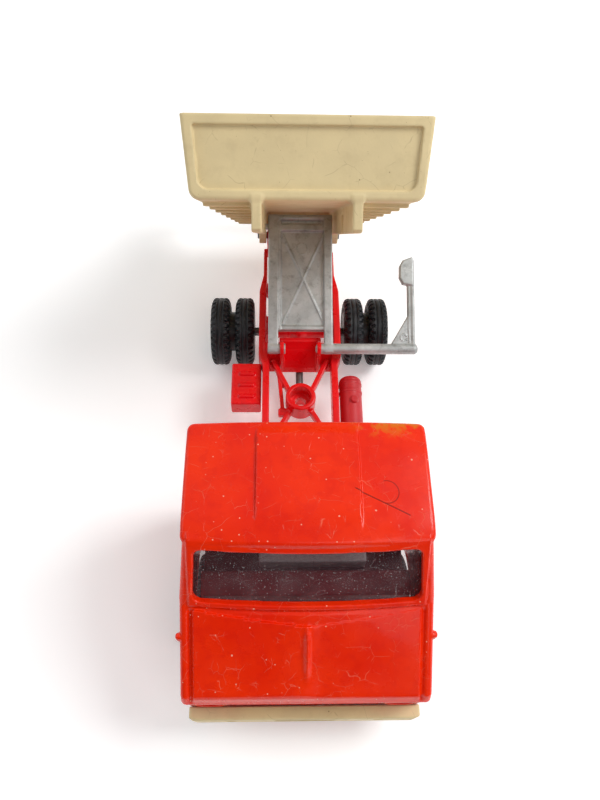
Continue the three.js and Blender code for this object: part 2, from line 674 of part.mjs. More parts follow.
const crossRibs = [0, 1, 2, 3, 4, 5, 6, 7].flatMap((i) =>
  both((s) => {
    const y = bodyFrontY + 6 + 8.2 * i;
    const end = 22 - (4.5 * i) / 7;
    const drop = 1 + (2.6 * i) / 7;
    return sideBlock(s, RUNNER_OUT - 0.4, end, y, y + 1.2, floorZ - drop, floorZ + 0.3);
  }),
);
let tray = solid(along(traySection(0, FLOOR_H, BODY_H), bodyFrontY, bodyRearY));
tray = tray.subtract(
  solid(along(traySection(WALL_T, FLOOR_H + FLOOR_T, BODY_H + 2), bodyFrontY + WALL_T, bodyRearY + 2)),
);
tray = join([
  tray,
  ...sideRibs,
  ...crossRibs,
  ...both((s) => sideAcross(s, RUNNER_IN, RUNNER_OUT, runner)),
  solid(block(-9.8, 9.8, HINGE_Y + 1.6, HINGE_Y + 2.8, HINGE_Z + 3.1, floorZ + 0.3)),
  ...both((s) => {
    const ear = [
      [bodyRearY - 4, HINGE_Z + BODY_H - 3.7],
      [bodyRearY - 4, HINGE_Z + BODY_H],
      [bodyRearY + 2, HINGE_Z + BODY_H + 0.4],
      [bodyRearY + 3, HINGE_Z + BODY_H - 1.3],
      [bodyRearY + 2, HINGE_Z + BODY_H - 2.9],
    ];
    return sideAcross(s, BODY_WIDTH / 2 - WALL_T, BODY_WIDTH / 2, ear);
  }),
]);
tray = cut(tray, [
  solid(along(
    [
      [-22.8, HINGE_Z + BODY_H - 2.4],
      [-22.8, floorZ + 5.6],
      [-20.4, floorZ + 2.2],
      [20.4, floorZ + 2.2],
      [22.8, floorZ + 5.6],
      [22.8, HINGE_Z + BODY_H - 2.4],
    ],
    bodyFrontY - 1,
    bodyFrontY + 0.6,
    1,
  )),
  solid(rodX(-13, 13, HINGE_Y, HINGE_Z, HINGE_PIN_R + 0.05)),
  solid(rodX(-24.9, 24.9, HINGE_Y + GATE_PIVOT_BACK, HINGE_Z + GATE_PIVOT_H, 0.97)),
  solid(block(RUNNER_IN - 1, RUNNER_OUT + 1, P - 2.2, P + 2.2, HINGE_Z - 1, HINGE_Z + 4.9)),
]);
place("tipper_body", tray, PLASTIC_CREAM, bodyTurn);

// Hinge pin pressed through the chassis lugs.
place("tipping_pin", solid(rodX(-12, 12, HINGE_Y, HINGE_Z, HINGE_PIN_R)), STEEL);

// Tailgate, hanging plumb from its pivots while the body is tipped.
const gateSection = traySection(1.85, FLOOR_H + 0.3, BODY_H - 0.3);
const gateY = HINGE_Y + GATE_PIVOT_BACK;
const gateZ = HINGE_Z + GATE_PIVOT_H;
const gateRibs = [-15, -5, 5, 15].map((x) => {
  return solid(block(x - 0.6, x + 0.6, gateY + 0.4, gateY + 1.2, floorZ + 2, gateZ - 1.6));
});
const gate = join([
  solid(along(gateSection, gateY - 0.75, gateY + 0.75)),
  solid(rodX(-24.7, 24.7, gateY, gateZ, 0.9)),
  ...gateRibs,
]);
const gatePoint = new THREE.Vector3(0, gateY, gateZ).applyMatrix4(bodyTurn);
const gateShift = new THREE.Matrix4().makeTranslation(0, gatePoint.y - gateY, gatePoint.z - gateZ);
place("tailgate", gate, PLASTIC_CREAM, gateShift);

// The finished truck's own origin is the middle of its footprint, on the ground.
const bounds = new THREE.Box3().setFromObject(group);
const middle = bounds.getCenter(new THREE.Vector3());
group.children.forEach((piece) => {
  piece.geometry.translate(-middle.x, -middle.y, -bounds.min.z);
});

export default group;
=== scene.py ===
import json
import math
import bpy
import numpy as np
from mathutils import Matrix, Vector


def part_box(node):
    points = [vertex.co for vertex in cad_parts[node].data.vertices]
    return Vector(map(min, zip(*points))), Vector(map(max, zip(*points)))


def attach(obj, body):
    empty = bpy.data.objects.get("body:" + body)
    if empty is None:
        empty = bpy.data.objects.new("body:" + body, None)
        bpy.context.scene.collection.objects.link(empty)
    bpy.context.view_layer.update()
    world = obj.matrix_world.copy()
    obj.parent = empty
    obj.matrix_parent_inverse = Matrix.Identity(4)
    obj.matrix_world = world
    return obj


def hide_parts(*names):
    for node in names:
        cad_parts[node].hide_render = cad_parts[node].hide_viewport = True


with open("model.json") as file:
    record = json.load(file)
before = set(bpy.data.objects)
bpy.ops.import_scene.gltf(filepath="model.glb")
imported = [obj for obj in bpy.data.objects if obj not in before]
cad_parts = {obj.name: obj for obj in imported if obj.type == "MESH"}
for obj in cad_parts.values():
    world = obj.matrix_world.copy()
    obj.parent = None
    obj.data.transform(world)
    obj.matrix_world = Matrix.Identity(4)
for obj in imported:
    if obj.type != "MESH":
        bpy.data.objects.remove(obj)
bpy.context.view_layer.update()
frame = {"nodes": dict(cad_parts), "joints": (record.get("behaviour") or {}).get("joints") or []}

MM = 0.001
CENTRE_X = (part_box("rear_axle")[0].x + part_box("rear_axle")[1].x) / 2 / MM
NOSE_Y0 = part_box("front_bumper")[0].y / MM
JOINTS = {joint["name"]: joint for joint in frame["joints"]}


def truck_mm(point):
    return np.array([point[0] / MM - CENTRE_X, point[1] / MM - NOSE_Y0, point[2] / MM])


def node_box(name):
    low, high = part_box(name)
    return truck_mm(low), truck_mm(high)


HINGE = truck_mm(JOINTS["tipper_tilt"]["pos_m"])
PIVOT = truck_mm(JOINTS["lift_frame_turn"]["pos_m"])
GATE = truck_mm(JOINTS["tailgate_swing"]["pos_m"])
FRONT_AXLE = truck_mm(JOINTS["front_axle_spin"]["pos_m"])
REAR_AXLE = truck_mm(JOINTS["rear_axle_spin"]["pos_m"])
TIP_ANGLE = -JOINTS["tipper_tilt"]["range_deg"][0]
LIFT_ANGLE = 21.0
CAB_LOW, CAB_HIGH = node_box("cab_shell")


ACROSS, ALONG, UP = 0, 1, 2


# ---------------------------------------------------------------- distance fields
# A field is negative inside the solid. Points come as a tuple of three arrays.

def meet(a, b, r=0.3):
    """What two fields share, its edge rounded by r."""
    corner = np.hypot(np.maximum(a + r, 0), np.maximum(b + r, 0))
    return np.minimum(np.maximum(a, b), -r) + corner


def merge(a, b, r=0.3):
    """Two fields together, with a fillet of r where they meet."""
    corner = np.hypot(np.maximum(r - a, 0), np.maximum(r - b, 0))
    return np.maximum(np.minimum(a, b), r) - corner


def carve(a, b, r=0.3):
    return meet(a, -b, r)


def merge_all(fields, r=0.3):
    whole = fields[0]
    for field in fields[1:]:
        whole = merge(whole, field, r)
    return whole


def box(p, x, y, z, r=0.3):
    """A block between two values of x, y and z, with round edges."""
    gaps = [np.abs(c - (a + b) / 2) - abs(b - a) / 2 + r for c, (a, b) in zip(p, (x, y, z))]
    outside = np.sqrt(sum(np.maximum(gap, 0) ** 2 for gap in gaps))
    return outside + np.minimum(np.maximum(np.maximum(gaps[0], gaps[1]), gaps[2]), 0) - r


def rod(p, axis, centre, radius, span, r=0.2):
    """A round bar along an axis, through centre given in the other two."""
    u, v = [p[i] for i in range(3) if i != axis]
    round_wall = np.hypot(u - centre[0], v - centre[1]) - radius
    ends = np.abs(p[axis] - (span[0] + span[1]) / 2) - abs(span[1] - span[0]) / 2
    return meet(round_wall, ends, r)


def ball(p, centre, radii):
    q = [(c - m) / r for c, m, r in zip(p, centre, radii)]
    length = np.sqrt(q[0] ** 2 + q[1] ** 2 + q[2] ** 2)
    return (length - 1) * min(radii)


def inset(points, r):
    """A counter-clockwise outline moved inwards by r."""
    moved = []
    for i, (u, v) in enumerate(points):
        before, after = points[i - 1], points[(i + 1) % len(points)]
        e0 = Vector((u - before[0], v - before[1])).normalized()
        e1 = Vector((after[0] - u, after[1] - v)).normalized()
        n0, n1 = Vector((-e0.y, e0.x)), Vector((-e1.y, e1.x))
        miter = (n0 + n1) / (1 + n0.dot(n1))
        moved.append((u + miter.x * r, v + miter.y * r))
    return moved


def outline(u, v, points, r=0.0):
    """Signed distance to a flat outline with its corners rounded by r."""
    corners = inset(points, r) if r else points
    near, sign = None, 1.0
    for i, (a0, a1) in enumerate(corners):
        b0, b1 = corners[i - 1]
        e0, e1 = b0 - a0, b1 - a1
        w0, w1 = u - a0, v - a1
        t = np.clip((w0 * e0 + w1 * e1) / (e0 * e0 + e1 * e1), 0, 1)
        d = (w0 - e0 * t) ** 2 + (w1 - e1 * t) ** 2
        near = d if near is None else np.minimum(near, d)
        above, below, left = v >= a1, v < b1, e0 * w1 > e1 * w0
        flip = (above & below & left) | (~above & ~below & ~left)
        sign = np.where(flip, -sign, sign)
    return sign * np.sqrt(near) - r


def prism(p, axis, points, span, corner=0.0, r=0.2):
    """A flat outline in the other two axes, drawn out along an axis."""
    u, v = [p[i] for i in range(3) if i != axis]
    ends = np.abs(p[axis] - (span[0] + span[1]) / 2) - abs(span[1] - span[0]) / 2
    return meet(outline(u, v, points, corner), ends, r)


def step(value, low, high):
    """Rises smoothly from 0 to 1 between low and high."""
    t = np.clip((value - low) / (high - low), 0, 1)
    return t * t * (3 - 2 * t)


def hump(value, centre, width):
    return np.exp(-(((value - centre) / width) ** 2))


def tilted(p, start, end):
    """p with its first two axes turned so that the first runs from start to end."""
    run = Vector((end[0] - start[0], end[1] - start[1]))
    length = run.length
    run.normalize()
    u, v = p[0] - start[0], p[1] - start[1]
    return (u * run.x + v * run.y, v * run.x - u * run.y, p[2]), length


def stay(p, start, end, width, z, r=0.2):
    """A straight bar in plan."""
    q, length = tilted(p, start, end)
    return box(q, (0, length), (-width / 2, width / 2), z, r)


# ---------------------------------------------------------------- meshes from fields

NEWTON_STEPS = 5
LONGEST_STEP = 0.4
LEAST_SLOPE_SQUARED = 0.05
TINY = 1e-9


def slope(field, points, reach=0.02):
    """The field's value and gradient at loose points."""
    grad = []
    for axis in range(3):
        ends = []
        for way in (-reach, reach):
            moved = [points[:, i] + (way if i == axis else 0) for i in range(3)]
            ends.append(field(tuple(moved)))
        grad.append((ends[1] - ends[0]) / (2 * reach))
    return field(tuple(points.T)), np.stack(grad, 1)


def net(field, low, high, pitch):
    """Points and quads on the field's zero surface: one point in each grid cell that it crosses."""
    lines = [np.arange(a - 1.5 * pitch, b + 2.5 * pitch, pitch) for a, b in zip(low, high)]
    grid = np.meshgrid(*lines, indexing="ij", sparse=True)
    shape = tuple(len(line) for line in lines)
    value = np.ascontiguousarray(np.broadcast_to(field(tuple(grid)), shape), np.float32)
    size = value.size
    total, count, quads = np.zeros((size, 3)), np.zeros(size), []
    for axis in range(3):
        ahead = tuple(slice(1, None) if i == axis else slice(None) for i in range(3))
        behind = tuple(slice(None, -1) if i == axis else slice(None) for i in range(3))
        first, second = value[behind], value[ahead]
        index = np.argwhere((first < 0) != (second < 0))
        a, b = first[tuple(index.T)], second[tuple(index.T)]
        point = index.astype(float)
        point[:, axis] += a / (a - b)
        near, far = (axis + 1) % 3, (axis + 2) % 3
        ring = []
        for back_near, back_far in ((0, 0), (1, 0), (1, 1), (0, 1)):
            cell = index.copy()
            cell[:, near] -= back_near
            cell[:, far] -= back_far
            flat = np.ravel_multi_index(tuple(cell.T), shape)
            ring.append(flat)
            count += np.bincount(flat, minlength=size)
            for i in range(3):
                total[:, i] += np.bincount(flat, point[:, i], minlength=size)
        ring = np.stack(ring, 1)
        quads.append(np.where((a < 0)[:, None], ring, ring[:, ::-1]))
    used = np.flatnonzero(count)
    number = np.full(size, -1)
    number[used] = np.arange(len(used))
    start = np.array([line[0] for line in lines])
    points = start + pitch * total[used] / count[used, None]
    for _ in range(NEWTON_STEPS):
        f, grad = slope(field, points)
        move = -(f / np.maximum((grad ** 2).sum(1), LEAST_SLOPE_SQUARED))[:, None] * grad
        length = np.linalg.norm(move, axis=1)[:, None]
        points += move * np.minimum(1, LONGEST_STEP * pitch / np.maximum(length, TINY))
    _, grad = slope(field, points)
    normals = grad / np.maximum(np.linalg.norm(grad, axis=1), TINY)[:, None]
    return points, number[np.concatenate(quads)], normals


def turn_about(points, centre, degrees):
    """Points turned about the cross axis through centre."""
    c, s = math.cos(math.radians(degrees)), math.sin(math.radians(degrees))
    y, z = points[:, 1] - centre[1], points[:, 2] - centre[2]
    return np.stack([points[:, 0], centre[1] + y * c - z * s, centre[2] + y * s + z * c], 1)


def mesh_piece(name, points, faces, normals, body, look, nodes):
    """A smooth mesh of quads, in place on its body. Points are in truck millimetres."""
    mesh = bpy.data.meshes.new(name)
    world = (points + np.array([CENTRE_X, NOSE_Y0, 0])) * MM
    mesh.vertices.add(len(world))
    mesh.vertices.foreach_set("co", world.astype(np.float32).ravel())
    mesh.loops.add(faces.size)
    mesh.loops.foreach_set("vertex_index", faces.astype(np.int32).ravel())
    mesh.polygons.add(len(faces))
    mesh.polygons.foreach_set("loop_start", np.arange(0, faces.size, 4, dtype=np.int32))
    mesh.polygons.foreach_set("use_smooth", np.ones(len(faces), bool))
    mesh.update(calc_edges=True)
    mesh.normals_split_custom_set_from_vertices(normals)
    mesh.materials.append(look)
    piece = bpy.data.objects.new(name, mesh)
    bpy.context.scene.collection.objects.link(piece)
    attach(piece, body)
    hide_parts(*nodes)


def cast(name, body, look, slot, field, low, high, pitch, nodes, turn=None):
    """A moulded piece: a field meshed between two corners with cells of pitch, then turned into place."""
    points, faces, normals = net(field, low, high, pitch)
    if turn:
        centre, degrees = turn
        points = turn_about(points, centre, degrees)
        normals = turn_about(normals, np.zeros(3), degrees)
    mesh_piece(name, points, faces, normals, body, look, nodes)


# ---------------------------------------------------------------- materials

def add(tree, kind, settings=None, **inputs):
    """A shader node with its settings, and its inputs set or linked by name or, as i0, i1, by number."""
    node = tree.nodes.new("ShaderNode" + kind)
    for key, value in (settings or {}).items():
        setattr(node, key, value)
    for key, value in inputs.items():
        socket = node.inputs[int(key[1:])] if key[0] == "i" and key[1:].isdigit() else node.inputs[key]
        if isinstance(value, bpy.types.NodeSocket):
            tree.links.new(value, socket)
        else:
            socket.default_value = value
    return node


def rgb(red, green, blue):
    """A colour as it looks on a screen, 0 to 255, in the shader's own linear values."""
    return tuple((c / 255) ** 2.2 for c in (red, green, blue)) + (1.0,)


def new_look(name, **shader_values):
    """A material with uniform values on its shader, and the tree to add detail to."""
    look = bpy.data.materials.new(name)
    look.use_nodes = True
    shader = look.node_tree.nodes["Principled BSDF"]
    for key, value in shader_values.items():
        shader.inputs[key.replace("_", " ")].default_value = value
    return look, look.node_tree, shader


def place(tree):
    """Coordinates on the piece, in metres, which move with it."""
    return add(tree, "TexCoord").outputs["Object"]


def noise(tree, where, size_mm, detail=3.0, rough=0.55):
    node = add(tree, "TexNoise", {"noise_dimensions": "3D"}, Vector=where)
    node.inputs["Scale"].default_value = 1 / (size_mm * MM)
    node.inputs["Detail"].default_value = detail
    node.inputs["Roughness"].default_value = rough
    return node.outputs["Fac"]


def ramp(tree, value, low, high, start=0.0, end=1.0):
    return add(tree, "MapRange", {"clamp": True}, Value=value, i1=low, i2=high, i3=start, i4=end).outputs[0]


def times(tree, a, b):
    return add(tree, "Math", {"operation": "MULTIPLY"}, i0=a, i1=b).outputs[0]


def either(tree, a, b):
    return add(tree, "Math", {"operation": "MAXIMUM"}, i0=a, i1=b).outputs[0]


def mix(tree, amount, a, b):
    return add(tree, "Mix", {"data_type": "RGBA"}, i0=amount, i6=a, i7=b).outputs[2]


def scratches(tree, where, size_mm, width, stretch=(1.0, 1.0, 1.0), wander=0.4):
    """Thin broken lines: the borders of large stretched cells, kept only in patches."""
    bent = add(tree, "Mapping", Vector=where, Scale=stretch, Rotation=(0.3, 0.5, 0.7)).outputs[0]
    warp = add(tree, "TexNoise", Vector=bent, Scale=1 / (size_mm * MM), Detail=2.0).outputs["Color"]
    shift = add(tree, "VectorMath", {"operation": "SCALE"}, i0=warp, Scale=wander * size_mm * MM)
    bent = add(tree, "VectorMath", {"operation": "ADD"}, i0=bent, i1=shift.outputs[0]).outputs[0]
    cells = add(tree, "TexVoronoi", {"feature": "DISTANCE_TO_EDGE"}, Vector=bent, Scale=1 / (size_mm * MM))
    line = ramp(tree, cells.outputs["Distance"], 0.0, width, 1.0, 0.0)
    patches = ramp(tree, noise(tree, where, size_mm * 0.7, 2.0), 0.53, 0.6)
    return times(tree, line, patches)


def specks(tree, where, size_mm, share):
    """Small separate spots, about one for each cell of that size."""
    cells = add(tree, "TexVoronoi", Vector=where, Scale=1 / (size_mm * MM), Randomness=1.0)
    spot = ramp(tree, cells.outputs["Distance"], share * 0.6, share, 1.0, 0.0)
    chosen = add(tree, "SeparateColor", Color=cells.outputs["Color"]).outputs[0]
    return times(tree, spot, ramp(tree, chosen, 0.62, 0.64))


def bump(tree, shader, height, depth_mm, strength=1.0):
    node = add(tree, "Bump", Height=height, Strength=strength, Distance=depth_mm * MM)
    tree.links.new(node.outputs[0], shader.inputs["Normal"])


HOOK_CENTRE = (15.6, 38.6)
HOOK_RADIUS = 2.35
STROKE_LENGTH = 6.2
ROOF_BASE_Z = 48


def pen_mark(tree, xyz):
    """A dark hooked hairline on the roof."""
    centre_x, centre_y = (HOOK_CENTRE[0] + CENTRE_X) * MM, (HOOK_CENTRE[1] + NOSE_Y0) * MM
    x = add(tree, "Math", {"operation": "SUBTRACT"}, i0=xyz.outputs["X"], i1=centre_x).outputs[0]
    y = add(tree, "Math", {"operation": "SUBTRACT"}, i0=xyz.outputs["Y"], i1=centre_y).outputs[0]
    offset = add(tree, "CombineXYZ", X=x, Y=y).outputs[0]
    reach = add(tree, "VectorMath", {"operation": "LENGTH"}, i0=offset).outputs["Value"]
    ring = ramp(tree, reach, (HOOK_RADIUS - 0.15) * MM, HOOK_RADIUS * MM)
    ring = times(tree, ring, ramp(tree, reach, HOOK_RADIUS * MM, (HOOK_RADIUS + 0.15) * MM, 1.0, 0.0))
    hook = times(tree, ring, ramp(tree, x, -0.8 * MM, -0.4 * MM))
    slant = add(tree, "Math", {"operation": "MULTIPLY_ADD"}, i0=x, i1=0.5, i2=y).outputs[0]
    slant = add(tree, "Math", {"operation": "ADD"}, i0=slant, i1=2.6 * MM).outputs[0]
    slant = add(tree, "Math", {"operation": "ABSOLUTE"}, i0=slant).outputs[0]
    stroke = ramp(tree, slant, 0.06 * MM, 0.18 * MM, 1.0, 0.0)
    stroke = times(tree, stroke, ramp(tree, reach, STROKE_LENGTH * MM, (STROKE_LENGTH + 0.4) * MM, 1.0, 0.0))
    on_roof = ramp(tree, xyz.outputs["Z"], ROOF_BASE_Z * MM, (ROOF_BASE_Z + 1) * MM)
    return times(tree, either(tree, hook, stroke), on_roof)


def enamel():
    """Thick gloss orange-red paint on a casting, with chips, fine scratches and worn orange patches."""
    look, tree, shader = new_look(
        "enamel", Coat_Weight=0.15, Coat_Roughness=0.05, Metallic=0.0, Specular_IOR_Level=0.22
    )
    where = place(tree)
    cloudy = ramp(tree, noise(tree, where, 16, 3), 0.35, 0.65)
    color = mix(tree, cloudy, rgb(228, 38, 2), rgb(240, 50, 3))
    fade = ramp(tree, noise(tree, where, 3, 4), 0.5, 0.62)
    color = mix(tree, times(tree, fade, 0.22), color, rgb(206, 20, 14))
    xyz = add(tree, "SeparateXYZ", Vector=where)
    start, end = ((CAB_HIGH[1] - gap + NOSE_Y0) * MM for gap in (4.5, 0.4))
    rear = ramp(tree, xyz.outputs["Y"], start, end)
    left = ramp(tree, xyz.outputs["X"], 6 * MM, 12 * MM)
    high = ramp(tree, xyz.outputs["Z"], 46 * MM, 50 * MM)
    patch = ramp(tree, noise(tree, where, 2.4, 5, 0.7), 0.47, 0.56)
    worn = times(tree, times(tree, times(tree, rear, left), high), patch)
    color = mix(tree, worn, color, rgb(214, 112, 24))
    chips = either(tree, specks(tree, where, 1.7, 0.1), specks(tree, where, 4.0, 0.06))
    lines = either(
        tree,
        scratches(tree, where, 7, 0.008, (1, 1.7, 1)),
        scratches(tree, where, 4, 0.009, (1.6, 1, 1)),
    )
    color = mix(tree, times(tree, lines, 0.5), color, rgb(246, 130, 100))
    color = mix(tree, times(tree, chips, 0.85), color, rgb(250, 176, 150))
    color = mix(tree, times(tree, pen_mark(tree, xyz), 0.8), color, rgb(70, 14, 12))
    tree.links.new(color, shader.inputs["Base Color"])
    smear = ramp(tree, noise(tree, where, 7, 5), 0.3, 0.7, 0.18, 0.34)
    tree.links.new(either(tree, smear, times(tree, lines, 0.5)), shader.inputs["Roughness"])
    peel = noise(tree, where, 1.6, 2)
    damage = either(tree, times(tree, chips, 1.5), lines)
    height = add(tree, "Math", {"operation": "SUBTRACT"}, i0=times(tree, peel, 0.3), i1=damage).outputs[0]
    bump(tree, shader, height, 0.05, 0.6)
    return look


def moulded(name, base, other, dirt, gloss, speck):
    """Moulded plastic: cloudy colour, grime specks, fine scratches and a faint grain."""
    grain_mm, dirt_amount = 0.5, 0.7
    look, tree, shader = new_look(name, Specular_IOR_Level=0.45)
    where = place(tree)
    color = mix(tree, ramp(tree, noise(tree, where, 14, 4), 0.35, 0.68), base, other)
    grime = times(tree, ramp(tree, noise(tree, where, 4, 5, 0.65), 0.5, 0.75), 0.12)
    color = mix(tree, grime, color, dirt)
    spots = either(tree, specks(tree, where, 3.1, speck), specks(tree, where, 1.1, speck * 1.2))
    color = mix(tree, times(tree, spots, dirt_amount), color, dirt)
    lines = scratches(tree, where, 6, 0.012)
    color = mix(tree, times(tree, lines, 0.3), color, dirt)
    tree.links.new(color, shader.inputs["Base Color"])
    rough = ramp(tree, noise(tree, where, 4, 4), 0.3, 0.7, gloss[0], gloss[1])
    tree.links.new(rough, shader.inputs["Roughness"])
    grain = add(tree, "Math", {"operation": "SUBTRACT"}, i0=noise(tree, where, grain_mm, 3), i1=spots)
    bump(tree, shader, grain.outputs[0], 0.04, 0.5)
    return look


def bare_metal(name, base, other, dark, metallic, gloss=(0.35, 0.6)):
    """Bare cast or drawn metal: mottled, with dull grime and a little grain."""
    grain_mm, depth_mm = 0.4, 0.05
    look, tree, shader = new_look(name, Metallic=metallic)
    where = place(tree)
    color = mix(tree, ramp(tree, noise(tree, where, 5, 5, 0.65), 0.35, 0.65), base, other)
    stain = ramp(tree, noise(tree, where, 2.2, 5, 0.7), 0.52, 0.68)
    color = mix(tree, times(tree, stain, 0.55), color, dark)
    tree.links.new(color, shader.inputs["Base Color"])
    rough = ramp(tree, noise(tree, where, 1.6, 4), 0.3, 0.7, gloss[0], gloss[1])
    tree.links.new(rough, shader.inputs["Roughness"])
    bump(tree, shader, noise(tree, where, grain_mm, 4, 0.6), depth_mm, 0.6)
    return look


BLOCK_FRONT = 29.2
BLOCK_Z = 28.2


def cabin_plastic():
    """Dull maroon plastic, its raised middle block a dusty grey."""
    look, tree, shader = new_look("cabin_plastic", Specular_IOR_Level=0.3)
    where = place(tree)
    xyz = add(tree, "SeparateXYZ", Vector=where)
    above = ramp(tree, xyz.outputs["Z"], BLOCK_Z * MM, (BLOCK_Z + 0.2) * MM)
    front = BLOCK_FRONT + NOSE_Y0
    behind = ramp(tree, xyz.outputs["Y"], front * MM, (front + 0.2) * MM)
    block = times(tree, above, behind)
    maroon = mix(tree, noise(tree, where, 5, 4), rgb(104, 24, 32), rgb(136, 50, 54))
    grey = mix(tree, noise(tree, where, 0.8, 4), rgb(170, 160, 164), rgb(226, 220, 222))
    color = mix(tree, block, maroon, grey)
    color = mix(tree, times(tree, specks(tree, where, 0.7, 0.2), 0.5), color, rgb(190, 180, 180))
    tree.links.new(color, shader.inputs["Base Color"])
    tree.links.new(ramp(tree, noise(tree, where, 2, 4), 0.3, 0.7, 0.5, 0.7), shader.inputs["Roughness"])
    bump(tree, shader, noise(tree, where, 0.4, 3), 0.06, 0.6)
    return look


def rubber():
    """Black rubber, dusty in patches."""
    look, tree, shader = new_look("tyre_rubber", Specular_IOR_Level=0.35)
    where = place(tree)
    dust = ramp(tree, noise(tree, where, 3, 5, 0.7), 0.48, 0.72)
    color = mix(tree, times(tree, dust, 0.5), rgb(30, 31, 34), rgb(74, 76, 80))
    tree.links.new(color, shader.inputs["Base Color"])
    tree.links.new(ramp(tree, dust, 0.0, 1.0, 0.42, 0.72), shader.inputs["Roughness"])
    bump(tree, shader, noise(tree, where, 0.35, 4), 0.04, 0.5)
    return look


def dusty_clear():
    """Clear plastic with dust specks and rubbed streaks, which show over what lies behind."""
    look, tree, shader = new_look("dusty_clear", Roughness=0.08, Specular_IOR_Level=0.4)
    where = place(tree)
    dust = either(tree, specks(tree, where, 0.6, 0.2), specks(tree, where, 1.5, 0.1))
    haze = ramp(tree, noise(tree, where, 5, 5, 0.7), 0.35, 0.75)
    streak = scratches(tree, where, 6, 0.01)
    rubbed = either(tree, times(tree, haze, 0.16), times(tree, streak, 0.5))
    veil = either(tree, times(tree, dust, 0.8), rubbed)
    tree.links.new(mix(tree, veil, rgb(96, 70, 76), rgb(206, 198, 196)), shader.inputs["Base Color"])
    tree.links.new(ramp(tree, veil, 0.0, 1.0, 0.16, 1.0), shader.inputs["Alpha"])
    bump(tree, shader, veil, 0.02, 0.3)
    return look


def pale_floor():
    """A plain pale floor with a faint tint and a glow that lifts its darkest parts."""
    look, tree, shader = new_look(
        "pale_floor", Specular_IOR_Level=0.15, Emission_Color=(1, 1, 1, 1), Emission_Strength=0.22
    )
    where = place(tree)
    tint = ramp(tree, noise(tree, where, 60, 3), 0.3, 0.7)
    tree.links.new(mix(tree, tint, rgb(252, 252, 252), rgb(255, 255, 255)), shader.inputs["Base Color"])
    tree.links.new(ramp(tree, noise(tree, where, 2, 3), 0.3, 0.7, 0.75, 0.9), shader.inputs["Roughness"])
    return look


ENAMEL = enamel()
CREAM = moulded(
    "cream_plastic", rgb(214, 194, 148), rgb(226, 205, 156), rgb(128, 98, 64), (0.45, 0.6), 0.06
)
RED = moulded("red_plastic", rgb(222, 12, 22), rgb(236, 18, 30), rgb(120, 8, 12), (0.22, 0.38), 0.05)
DULL_RED = moulded(
    "dull_red_plastic", rgb(184, 34, 42), rgb(198, 50, 56), rgb(90, 24, 26), (0.35, 0.5), 0.06
)
CABIN = cabin_plastic()
TRIM_BLACK = moulded(
    "black_plastic", rgb(28, 28, 30), rgb(38, 38, 40), rgb(70, 68, 66), (0.35, 0.55), 0.08
)
ZINC = bare_metal(
    "cast_zinc", rgb(188, 191, 190), rgb(164, 167, 166), rgb(120, 120, 117), 0.5, (0.38, 0.6)
)
STEEL = bare_metal(
    "plain_steel", rgb(150, 150, 154), rgb(120, 120, 124), rgb(80, 72, 64), 0.9, (0.25, 0.5)
)
SHAFT_GREY = bare_metal("grey_shaft", rgb(120, 118, 118), rgb(98, 96, 96), rgb(60, 56, 54), 0.6)
SILVER = bare_metal(
    "silver_trim", rgb(206, 208, 210), rgb(190, 192, 196), rgb(130, 126, 120), 0.8, (0.15, 0.32)
)
RUBBER = rubber()
CLEAR = dusty_clear()


# ---------------------------------------------------------------- cab

CAB_REAR = CAB_HIGH[1]
SILL = CAB_LOW[2]
ROOF_Z = CAB_HIGH[2] - 0.35
CAB_HALF = 25.6
ROOF_HALF = 24.9
ROOF_FRONT = 29.1
COWL = (19.8, 39.6)
NOSE = (3.2, 28.9)
FACE_Y = 3.0
SCREEN_TOP = (29.3, 50.3)
PLAN_BOW = 1.25
CAB_WALL = 1.5
BELOW = SILL - 6
LAMP = (20.2, 20.8)
ARCH_RADIUS = 11.15
RIDGE_HALF = 10.2
RIDGE_HEIGHT = 0.6
PANEL_HALF = 23
GLASS_GAP = 0.12
GLASS_BACK = 0.8
GLASS_FOOT = COWL[1] - 0.9


def bowed(x, y):
    """Stations with the forward bow of the cowl, windscreen and roof front taken out."""
    amount = PLAN_BOW * step(y, 5, 17) * (1 - step(y, 33, 48))
    return y + amount * (1 - (x / CAB_HALF) ** 2)


def on_screen(x, y, z):
    """Distances up the windscreen from the cowl and out of its plane."""
    run = Vector((SCREEN_TOP[0] - COWL[0], SCREEN_TOP[1] - COWL[1])).normalized()
    along, up = bowed(x, y) - COWL[0], z - COWL[1]
    return along * run.x + up * run.y, up * run.x - along * run.y


def roof_field(p):
    """Roof panel: crowned, falling to its front lip, with a raised middle between two creases."""
    x, y, z = p
    station = bowed(x, y)
    corners = [(-ROOF_HALF, ROOF_FRONT), (ROOF_HALF, ROOF_FRONT)]
    corners += [(ROOF_HALF - 0.2, CAB_REAR), (0.2 - ROOF_HALF, CAB_REAR)]
    plan = outline(x, station, corners, 1.5)
    top = ROOF_Z + 0.1 - 1.0 * (np.abs(x) / ROOF_HALF) ** 2.4
    top = top - 1.1 * np.clip((ROOF_FRONT + 6.4 - station) / 6.4, 0, 1) ** 2
    top = top - 0.8 * np.clip((station - CAB_REAR + 8) / 8, 0, 1) ** 2
    fade = step(station, 31, 38) * (1 - step(station, 50.5, 53.5))
    top = top + RIDGE_HEIGHT * fade * (1 - step(np.abs(x), RIDGE_HALF, RIDGE_HALF + 0.45))
    return meet(meet(plan, z - top, 0.8), ROOF_Z - 3.1 - z, 0.4)


